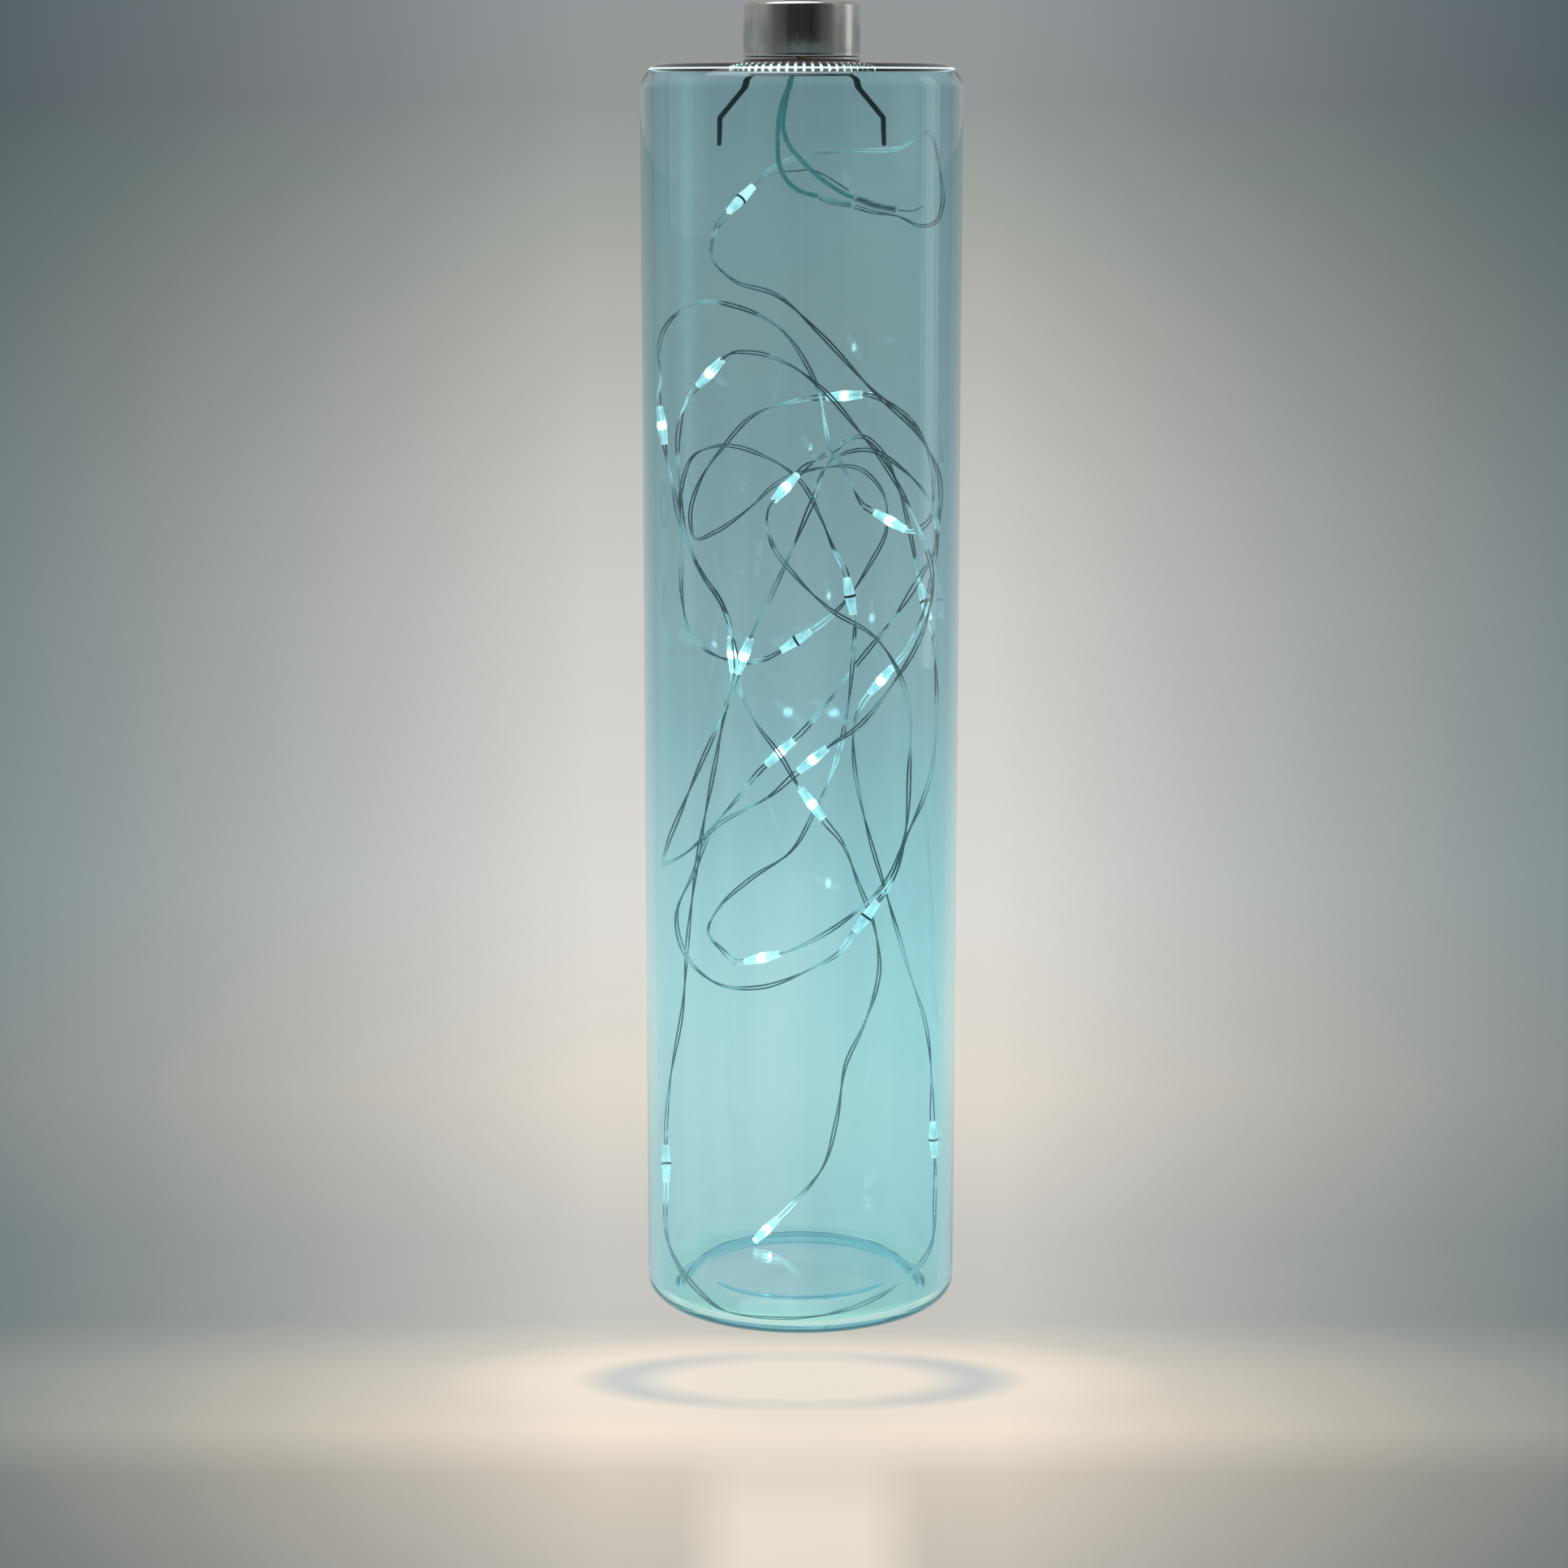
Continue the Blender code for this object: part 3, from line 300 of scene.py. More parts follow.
# Where the string runs, in millimetres: the points that lead to each bead, then the bead's two ends
stringRoute = [
    ([(11, 3, 232), (14, 3, 231), (20, 3, 230), (25, 2, 228), (28, 0, 229), (29, -1, 232), (29, 3, 239),
      (28, 7, 245), (27, 9, 247), (25, 11, 246), (22, 12, 244), (12, 12, 243), (0, 9, 242), (-7, 4, 239)],
     (-9.5, 1, 236.5), (-15.5, -3, 230.5)),
    ([(-18, -7, 226), (-18, -10, 222), (-14, -13, 218), (-5, -17, 215), (3, -19, 208), (14, -17, 196),
      (23, -13, 187), (28, -7, 177), (29, -1, 168), (28, 3, 156), (26, 5, 147), (23, 9, 139)],
     (19.5, 13, 134), (15.5, 15, 129)),
    ([(12, 18, 122), (12, 21, 111), (15, 22, 97), (19, 20, 84), (24, 15, 68), (28, 8, 56), (29, 4, 44)],
     (29, 2, 37), (29.5, 1, 29)),
    ([(29, -3, 21), (27, -11, 13), (18, -22, 7), (6, -28, 4), (-6, -28.5, 3), (-15, -24.5, 3),
      (-22, -19, 7), (-27, -12, 13), (-29, -5, 19)],
     (-29, -3, 25), (-29.5, 0, 32)),
    ([(-29, 4, 44), (-26, 8, 61), (-25, 11, 75), (-23, 13, 91), (-19, 12, 112), (-16, 10, 127)],
     (-14.5, 9, 134), (-15, 8, 142)),
    ([(-17, 8, 149), (-21, 9, 155), (-25, 9, 164), (-26, 8, 174), (-26, 4, 185), (-24, 0, 192)],
     (-21.5, -3, 195.5), (-16, -6, 201.5)),
    ([(-10, -9, 203), (-3, -12, 201), (4, -13, 196), (11, -13, 188), (17, -12, 180), (23, -9, 169),
      (27, -6, 155), (25, -4, 144), (19, -2, 133), (11, 0, 123)],
     (6, 1, 119.5), (-1, 2, 113.5)),
    ([(-6, 2, 109), (-17, 1, 103), (-26, -2, 96), (-29, -4, 95), (-28, -6, 99), (-25, -8, 107),
      (-21, -10, 117), (-16, -12, 129)],
     (-13, -13, 137.5), (-10.5, -14, 144.5)),
    ([(-7, -15, 152), (-3, -17, 161), (2, -18, 173), (6, -18, 182), (13, -18, 184), (21, -16, 179),
      (26, -11, 172), (28, -3, 163), (26, 5, 156), (20, 8, 146), (12, 8, 136), (5, 7, 127)],
     (-1.5, 6, 120), (-7.5, 6, 114.5)),
    ([(-13, 6, 108), (-19, 4, 101), (-23, 0, 92), (-26, -6, 85), (-23, -12, 76), (-17, -16, 72),
      (-9, -19, 72), (1, -21, 76), (8, -20, 80)],
     (11, -19, 84), (15.5, -18, 90)),
    ([(19, -17, 96), (21, -15, 103), (22, -13, 117), (22, -13, 129), (20, -14, 137), (15, -15, 145),
      (6, -17, 151), (-1, -19, 158), (-6, -19, 165), (-7, -17, 170)],
     (-5.5, -15, 173.5), (-1, -11, 178)),
    ([(3, -2, 180), (6, 11, 180), (9, 19, 177), (11, 18, 173), (13, 9, 170)],
     (15.5, 1, 169), (21.5, -3, 166)),
    ([(26, -2, 167), (28, 3, 172), (28, 8, 179), (25, 12, 186), (20, 14, 190), (16, 14, 192)],
     (12.5, 14, 192.5), (6, 15, 192)),
    ([(-1, 17, 191), (-10, 18, 188), (-17, 17, 181), (-22, 14, 174), (-24, 12, 167), (-23, 13, 162),
      (-19, 16, 163), (-11, 20, 168), (-5, 23, 173), (4, 24, 176), (13, 22, 176), (18, 21, 171),
      (19, 21, 164), (15, 23, 155), (8, 25, 145)],
     (2.5, 26, 140.5), (-4.5, 26, 136)),
    ([(-10, 24, 134), (-19, 20, 136), (-24, 16, 141), (-26, 12, 150), (-26, 12, 161), (-26, 12, 173),
      (-23, 12, 180), (-17, 12, 182), (-8, 10, 180), (0, 5, 175), (4, 2, 168), (7, 1, 161)],
     (9.5, 1, 155.5), (11, 1, 147.5)),
    ([(11, 1, 140), (10, 3, 128), (8, 6, 117), (3, 9, 104), (-2, 10, 95), (-11, 9, 89), (-18, 6, 83),
      (-20, 3, 79), (-17, -1, 76)],
     (-11.5, -4, 74), (-5, -6, 76)),
    ([(2, -7, 79), (11, -7, 85), (18, -6, 92), (22, -5, 101), (27, -3, 113), (29, 1, 126), (29, 4, 136)],
     (28, 8, 145.5), (26, 11.5, 152.5)),
    ([(24, 13, 162), (21, 14, 173), (17, 13, 181), (13, 11, 184), (9, 9, 183), (7, 7, 181), (5, 4, 187),
      (4, 2, 193), (1, 0, 200), (-4, -3, 207), (-13, -6, 212), (-21, -7, 213), (-26, -7, 210),
      (-29, -5, 204), (-29, -3, 197)],
     (-29.5, -2, 191), (-28.5, -2, 184)),
    ([(-27, -1, 176), (-25, 1, 165), (-21, 3, 156), (-16, 3, 148), (-14, 2, 140), (-13, 0, 132),
      (-10, -3, 126), (-4, -5, 118)],
     (0, -6, 111.5), (4.5, -7, 105.5)),
    ([(8, -6, 101), (12, -3, 91), (16, 2, 79), (17, 6, 69), (14, 9, 57), (10, 12, 47), (8, 13, 34),
      (5, 14, 23), (-1, 15, 15)],
     (-5.2, 15, 10.7), (-10, 10, 7.5)),
]


def beadMiddles():
    return [(Vector(first) + Vector(last)) / 2.0 * mm for _, first, last in stringRoute]


def beadEnds(first, last, values):
    # Where the string runs straight through a bead: from just before it to just past it
    first, last = inMetres((first, last))
    way = (last - first).normalized()
    middle = (first + last) / 2.0
    reach = values["beadLength"] / 2.0 + values["beadStraight"]
    return middle - way * reach, middle + way * reach


def stringLine(values):
    # The middle line of the string, from the splice to inside the last bead
    path = []
    before = None
    for points, first, last in stringRoute:
        run = inMetres(points)
        entry, leave = beadEnds(first, last, values)
        way = (leave - entry).normalized()
        if before:
            run = [before[1]] + run
            firstWay = (before[1] - before[0]).normalized()
        else:
            firstWay = (run[1] - run[0]).normalized()
        path += smoothRun(run + [entry], firstWay, way, values["step"])
        before = (entry, leave)
    path.append(leave - way * (values["beadStraight"] + values["endInset"]))
    return path


def conductorLines(path, values):
    # Two lines that follow the middle line side by side, further apart at the beads, and wind slowly round it
    middles = beadMiddles()
    along = 0.0
    side = Vector((0.0, 0.0, 1.0))
    lines = ([], [])
    for index, point in enumerate(path):
        ahead = path[min(index + 1, len(path) - 1)]
        behind = path[max(index - 1, 0)]
        way = (ahead - behind).normalized()
        side = (side - way * side.dot(way)).normalized()
        if index:
            along += (point - behind).length
        nearest = min((point - middle).length for middle in middles)
        away = max(0.0, nearest - values["beadLength"] / 2.0) / values["closing"]
        gap = values["gapAway"] + (values["gapAtBead"] - values["gapAway"]) * math.exp(-away * away)
        offset = (Quaternion(way, 2.0 * math.pi * along / values["twist"]) @ side) * gap
        lines[0].append(point + offset)
        lines[1].append(point - offset)
    return lines


def makeString(values, look):
    # The wires keep, for each corner, how near it is to a bead, which sets their painted glow
    path = stringLine(values)
    form = bmesh.new()
    for line in conductorLines(path, values):
        form.from_mesh(tubeMesh("conductor", line, values["wireRadius"], rings=1))
    near = form.verts.layers.float.new("nearBead")
    middles = beadMiddles()
    for corner in form.verts:
        away = min((corner.co - middle).length for middle in middles) - values["beadLength"] / 2.0
        corner[near] = math.exp(-((max(0.0, away) / values["paintedGlowReach"]) ** 2))
    piece = toPiece(form, "lightString", look, "glass", ("string_wire",), sharp=80.0)
    return piece, path


def wireMaterial(values):
    # Thin silvered wire with painted light: streaks that glow near the beads, and faint glints all along it
    made = finishMaterial(
        "silverWire", {"Metallic": 1.0, "Roughness": 0.3, "Emission Color": values["paintedGlowColour"]},
        (0.17, 0.23, 0.24), (0.34, 0.41, 0.42), 900.0, roughness=(0.22, 0.4), bump=(0.15, 0.02 * mm),
    )
    near = addNode(made, "Attribute", attribute_name="nearBead").outputs["Fac"]
    # Painted light: glowing streaks near the beads, and faint painted glints anywhere on the wire
    streaks = spread(made, noiseOn(made, 110.0, detail=2.0), 0.0, values["paintedGlowStrength"], 0.50, 0.60)
    faint = spread(made, noiseOn(made, 45.0, detail=1.0), 0.0, 0.4 * values["paintedGlowStrength"], 0.56, 0.66)
    feed(made, mathNode(made, "ADD", mathNode(made, "MULTIPLY", near, streaks), faint), "Emission Strength")
    return made


silverWire = wireMaterial(lightString)
stringPiece, stringPath = makeString(lightString, silverWire)
print("string laid")


# Light beads

lightBead = {
    "length": 8.0 * mm,
    "endRadius": 0.82 * mm,
    "bellyRadius": 1.12 * mm,
    "edgeRadius": 0.14 * mm,
    "sides": 20,
    "coreReach": 0.26,  # share of half the bead's length
    "tied": (1, 3, 4, 10, 14, 15, 17),  # beads whose chip faces away, so that its dark tie shows
    "tieRadius": 1.16 * mm,
    "tieOut": 0.1 * mm,
    "tieIn": 0.3 * mm,
    "tieWidth": 0.5 * mm,
    "tieEdge": 0.06 * mm,
    "glow": (0.60, 0.92, 0.90),
    "endGlow": (0.80, 0.97, 0.95),
    "hullStrength": 0.74,
    "coreStrength": 9.0,
}


def resinMaterial(name, values, lit):
    # Clear resin that glows from inside, with a round bright core and paler ends. The mesh keeps, for each
    # corner, its share of the way from an end of the bead to its middle.
    made = newMaterial(name, {"Roughness": 0.18, "IOR": 1.5, "Transmission Weight": 0.25, "Coat Weight": 0.4})
    along = addNode(made, "Attribute", attribute_name="alongBead").outputs["Fac"]
    grain = noiseOn(made, 900.0)
    hull = mixColours(made, grain, (0.45, 0.82, 0.84), (0.70, 0.97, 0.97))
    ends = spread(made, along, 1.0, 0.0, 0.0, 0.25)
    feed(made, mixColours(made, ends, hull, (0.88, 0.97, 0.95)), "Base Color")
    feed(made, mixColours(made, ends, values["glow"], values["endGlow"]), "Emission Color")
    strength = values["hullStrength"]
    level = spread(made, noiseOn(made, 380.0, detail=2.0), 0.55 * strength, 1.25 * strength)
    if lit:
        turned = mathNode(made, "SUBTRACT", 1.0, addNode(made, "LayerWeight").outputs["Facing"])
        lengthways = mathNode(made, "DIVIDE", mathNode(made, "SUBTRACT", 1.0, along), values["coreReach"])
        squares = [mathNode(made, "MULTIPLY", part, part) for part in (turned, lengthways)]
        core = mathNode(made, "SUBTRACT", *squares)
        level = mathNode(made, "ADD", level, spread(made, core, 0.0, values["coreStrength"], -0.05, 0.45))
    feed(made, level, "Emission Strength")
    addBump(made, grain, 0.25, 0.05 * mm)
    return made


def beadProfile(values):
    half = values["length"] / 2.0
    edge = values["edgeRadius"]
    end = values["endRadius"]
    profile = [(0.0, half)]
    profile += arc((end - edge, half - edge), edge, 90.0, 0.0, 3)
    for share in (0.8, 0.6, 0.4, 0.25, 0.12, 0.0, -0.12, -0.25, -0.4, -0.6, -0.8):
        swell = 0.5 + 0.5 * math.cos(math.pi * min(1.0, abs(share) * 1.05))
        profile.append((end + (values["bellyRadius"] - end) * swell, share * half))
    profile += arc((end - edge, edge - half), edge, 0.0, -90.0, 3)
    profile.append((0.0, -half))
    return profile


def makeTie(number, place, values, look):
    # The dark band round the middle of a bead
    half = values["tieWidth"] / 2.0
    outer = values["tieRadius"] + values["tieOut"]
    inner = values["tieRadius"] - values["tieIn"]
    band = spinShape([(inner, -half), (outer, -half), (outer, half), (inner, half)], values["sides"], True)
    roundEdges(band, band.edges, values["tieEdge"], 2)
    bmesh.ops.transform(band, matrix=place, verts=band.verts)
    toPiece(band, f"beadTie_{number:02d}", look, "glass")


def makeBeads(values, litLook, dimLook, tieLook):
    beads = []
    for index, (_, first, last) in enumerate(stringRoute):
        number = index + 1
        first, last = inMetres((first, last))
        turn = (last - first).to_track_quat("Z", "Y").to_matrix().to_4x4()
        place = Matrix.Translation((first + last) / 2.0) @ turn
        form = spinShape(beadProfile(values), values["sides"])
        layer = form.verts.layers.float.new("alongBead")
        for corner in form.verts:
            corner[layer] = 1.0 - min(1.0, abs(corner.co.z) / (values["length"] / 2.0))
        bmesh.ops.transform(form, matrix=place, verts=form.verts)
        tied = number in values["tied"]
        look = dimLook if tied else litLook
        name = f"lightBead_{number:02d}"
        bead = toPiece(form, name, look, "glass", (f"led_bead_{number:02d}",), sharp=60.0)
        beads.append(bead)
        if tied:
            makeTie(number, place, values, tieLook)
    return beads


litResin = resinMaterial("litResin", lightBead, True)
dimResin = resinMaterial("dimResin", lightBead, False)
darkTie = finishMaterial(
    "darkTie", {"Roughness": 0.45}, (0.01, 0.03, 0.03), (0.03, 0.06, 0.06), 1200.0, roughness=(0.35, 0.6),
)
beadPieces = makeBeads(lightBead, litResin, dimResin, darkTie)
print("beads made")


# Leads

leads = {
    "radius": 0.5 * mm,
    "spliceRadius": 0.32 * mm,
    "spliceInset": (0.4 * mm, 0.3 * mm),
    "sleeveRadius": 0.75 * mm,
    "wireRadius": 0.17 * mm,
    "step": 0.8 * mm,
    "startHeight": 262.1 * mm,
    "exitHeight": 257.7 * mm,
    "exitDrop": 0.5 * mm,
    "stretch": (234.5 * mm, 256.5 * mm),  # heights between which the real leads give when the holder is lifted
    "grommetOffset": -1.9 * mm,
    "spacing": 1.5 * mm,
    "endGap": 0.3 * mm,
    "sag": 0.3 * mm,
    "routeA": [(-2.6, -0.8, 255.6), (-3.4, -1, 252), (-3.8, -1.4, 248), (-2.6, -2.2, 244.4),
               (-0.4, -3, 241.8), (2.2, -3.7, 239.2), (5.6, -4.4, 236.6), (10.6, -5, 234)],
    "routeB": [(-2.8, 0.9, 255.6), (-4.2, 1.1, 252), (-4.8, 1.3, 248), (-4.9, 1.6, 244.4),
               (-4.6, 2, 240.4), (-3.2, 2.4, 237.4), (-0.6, 2.7, 235.2), (3.4, 3, 234)],
    "sleeveEndA": (19.2, -5, 231.6),
    "sleeveEndB": (10.3, 3, 232.3),
    "returnRoute": [(9.6, -4.4, 235.4), (5.4, -3.4, 238), (2.2, -1.6, 239.4), (-1, 0.6, 239.2),
                    (-5, 1, 238.8), (-8, 0.4, 237.8)],
    "tailRoute": [(19.55, -5, 231.5), (22.6, -5, 231.4), (24.6, -5, 232.3)],
}


def makeLead(letter, side, values, look, sleeveLook, wireLook):
    # One insulated lead from the grommet to its clear sleeve, with the bare splice inside the sleeve
    sleeveEnd = Vector(values["sleeveEnd" + letter.upper()]) * mm
    across = side * values["spacing"] / 2.0
    offset, height, drop = values["grommetOffset"], values["exitHeight"], values["exitDrop"]
    points = [Vector((offset, across, height - drop))] + inMetres(values["route" + letter.upper()])
    way = (sleeveEnd - points[-1]).normalized()
    path = [Vector((offset, across, values["startHeight"])), Vector((offset, across, height + drop))]
    path += smoothRun(points, Vector((0.0, 0.0, -1.0)), way, values["step"])
    mesh = tubeMesh("lead", path, values["radius"], rings=3)
    lead = meshPiece(
        mesh, f"lead_{letter}", look, None, (f"lead_wire_{letter}",), sharp=60.0,
    )
    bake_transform(lead)
    start = points[-1] + way * values["endGap"]
    middle = (start + sleeveEnd) / 2.0 + Vector((0.0, 0.0, -values["sag"]))
    bend = smoothRun([start, middle, sleeveEnd], way, way, values["step"])
    mesh = tubeMesh("sleeve", bend, values["sleeveRadius"], rings=3)
    sleeve = meshPiece(
        mesh, f"sleeve_{letter}", sleeveLook, "glass", (f"heat_shrink_{letter}",), sharp=60.0,
    )
    first, last = values["spliceInset"]
    core = smoothRun([start + way * first, middle, sleeveEnd - way * last], way, way, values["step"])
    mesh = tubeMesh("splice", core, values["spliceRadius"], rings=2, roundEnds=True)
    splice = meshPiece(mesh, f"splice_{letter}", wireLook, "glass", sharp=60.0)


def makeLooseWire(name, node, route, values, look):
    # The thin return wire behind the leads, or the short tail of the front splice
    points = inMetres(route)
    firstWay = (points[1] - points[0]).normalized()
    lastWay = (points[-1] - points[-2]).normalized()
    mesh = tubeMesh(name, smoothRun(points, firstWay, lastWay, values["step"]), values["wireRadius"], rings=2)
    meshPiece(mesh, name, look, "glass", (node,), sharp=80.0)


# Painted light: the insulation glows faintly teal, standing for the light of the beads falling on it
leadInsulation = finishMaterial(
    "leadInsulation", {
        "Roughness": 0.3, "Coat Weight": 0.5, "Transmission Weight": 0.15,
        "Emission Color": (0.25, 0.80, 0.75), "Emission Strength": 0.10,
    },
    (0.14, 0.34, 0.32), (0.24, 0.50, 0.47), 500.0, roughness=(0.2, 0.4), bump=(0.1, 0.03 * mm),
)
clearSleeve = finishMaterial(
    "clearSleeve", {"Transmission Weight": 0.75, "IOR": 1.4},
    (0.55, 0.74, 0.75), (0.75, 0.88, 0.88), 700.0, roughness=(0.12, 0.3), bump=(0.3, 0.05 * mm),
)
makeLead("a", -1.0, leads, leadInsulation, clearSleeve, silverWire)
makeLead("b", 1.0, leads, leadInsulation, clearSleeve, silverWire)
makeLooseWire("returnWire", "return_wire", leads["returnRoute"], leads, silverWire)
makeLooseWire("spliceTail", "splice_tail", leads["tailRoute"], leads, silverWire)
print("leads made")


# Glass cylinder

glassBody = {
    "radius": 33.0 * mm,
    "height": 261.0 * mm,
    "wall": 2.4 * mm,
    "crown": 0.2 * mm,
    "shoulderRadius": 5.0 * mm,
    "innerShoulder": (1.1 * mm, 2.6 * mm),  # reach inwards, and drop
    "heelRadius": 4.0 * mm,
    "innerHeelRadius": 2.2 * mm,
    "holeRadius": 11.1 * mm,
    "holeEdge": 0.45 * mm,
    "holeSeat": 2.2 * mm,
    "pushUpRadius": 21.0 * mm,
    "pushUpHeight": 3.7 * mm,
    "pushUpSlope": 7.2 * mm,
    "pushUpWall": 1.6 * mm,
    "pushUpDraft": 0.45 * mm,
    "baseRing": 2.2 * mm,
    "baseDome": 0.5 * mm,
    "sides": 192,
    "flutes": 48,
    "fluteDepth": 0.1 * mm,
    "filmTop": (0.66, 0.90, 0.97),
    "filmMiddle": (0.74, 0.88, 0.92),
    "filmBottom": (0.96, 0.98, 1.00),  # on the left, painted paler
    "filmCorner": (0.74, 0.98, 1.00),  # on the right
    "filmBand": (0.40, 0.52, 0.60),
    "foot": (0.67, 0.94, 0.88),
    "skinTop": (0.74, 0.93, 1.00),
    "skinMiddle": (0.54, 0.76, 0.84),
    "skinBottom": (0.62, 0.92, 1.00),
    # Painted reflection: the maroon the top face shows where one looks along it, and its glow
    "sheenTopColour": (0.62, 0.30, 0.30),
    # Painted light: a glow low in the glass, a highlight line under the top, and glints on the flutes of the
    # hole
    "glow": (0.02, 0.30, 0.38),
    "glowStrength": 0.08,
    "sheenTopGlow": (0.50, 0.07, 0.11),
    "sheenTopStrength": 0.30,
    "lineHeight": 259.9 * mm,
    "lineHalfWidth": 0.2 * mm,
    "lineStrength": 0.8,
    "sparkle": (0.85, 1.0, 1.0),
    "sparkleStrength": 1.8,
    "absorption": (0.35, 0.92, 0.80),
    "density": 14.0,
}

# Between which two places each change of tone in the glass runs
glassTurns = {
    "skin": (31.2 * mm, 32.2 * mm),  # away from the axis
    "shoulder": (27.5 * mm, 28.5 * mm),
    "corner": (-5.0 * mm, 25.0 * mm),  # from left to right
    "foot": (3.0 * mm, 6.2 * mm),  # up the glass
    "lower": (70.0 * mm, 130.0 * mm),
    "glow": (70.0 * mm, 160.0 * mm),
    "upper": (185.0 * mm, 235.0 * mm),
    "rim": (259.5 * mm, 259.9 * mm),
    "top": (260.6 * mm, 261.0 * mm),
}


def softStep(share):
    return share * share * (3.0 - 2.0 * share)


def glassProfile(values):
    # Inner floor, inner wall, ceiling and hole, then the outer side down to the push-up of the base
    radius, height, wall, crown = values["radius"], values["height"], values["wall"], values["crown"]
    inner = radius - wall
    ring = values["baseRing"]
    up, rise, slope = values["pushUpRadius"], values["pushUpHeight"], values["pushUpSlope"]
    dome = values["baseDome"]
    heel, innerHeel, shoulder = values["heelRadius"], values["innerHeelRadius"], values["shoulderRadius"]
    straight = height - 2.0 * shoulder
    shares = (0.0, 0.25, 0.5, 0.75, 0.92)
    profile = [(up * share, ring + rise + dome * (1.0 - share * share)) for share in shares]
    for step in range(13):
        share = step / 12.0
        profile.append((up + slope * share, ring + rise * (1.0 - softStep(share))))
    profile += arc((inner - innerHeel, ring + innerHeel), innerHeel, -90.0, 0.0, 8)
    profile += [(inner, ring + innerHeel + (straight - ring) * share) for share in (0.2, 0.4, 0.6, 0.8)]
    reach, drop = values["innerShoulder"]
    start = inner - reach
    for across, along in arc((0.0, 0.0), 1.0, 0.0, 90.0, 12):
        profile.append((start + reach * across, height - wall - drop + drop * along))
    edge = values["holeEdge"]
    edgeCentre = values["holeRadius"] + edge
    seat = edgeCentre + values["holeSeat"]
    seatHeight = height + crown
    ceiling = seatHeight - wall
    shares = (0.8, 0.6, 0.4, 0.2, 0.0)
    profile += [(seat + (start - seat) * share, ceiling - crown * share**2) for share in shares]
    profile += arc((edgeCentre, ceiling + edge), edge, 270.0, 180.0, 6)
    profile += arc((edgeCentre, seatHeight - edge), edge, 180.0, 90.0, 6)
    start = radius - shoulder
    profile += [(seat + (start - seat) * share, seatHeight - crown * share**2) for share in shares[::-1]]
    profile += arc((start, height - shoulder), shoulder, 90.0, 0.0, 14)
    profile += [(radius, heel + straight * share) for share in (0.8, 0.6, 0.4, 0.2)]
    profile += arc((radius - heel, heel), heel, 0.0, -90.0, 10)
    under = up - values["pushUpDraft"]
    underRise = ring + rise - values["pushUpWall"]
    for step in range(13):
        share = 1.0 - step / 12.0
        profile.append((under + slope * share, underRise * (1.0 - softStep(share))))
    profile += [(up * share, underRise + dome * (1.0 - share * share)) for share in (0.75, 0.5, 0.25, 0.0)]
    return profile


def flute(form, values):
    # Gives the ground edge of the hole its fine flutes, four columns of the turned form to each
    for corner in form.verts:
        radius = math.hypot(corner.co.x, corner.co.y)
        above = corner.co.z > values["height"] / 2.0
        if above and abs(radius - values["holeRadius"]) < 0.3 * values["holeEdge"]:
            angle = math.atan2(corner.co.y, corner.co.x)
            shift = values["fluteDepth"] * math.cos(values["flutes"] * angle)
            corner.co.x *= (radius + shift) / radius
            corner.co.y *= (radius + shift) / radius
    return form


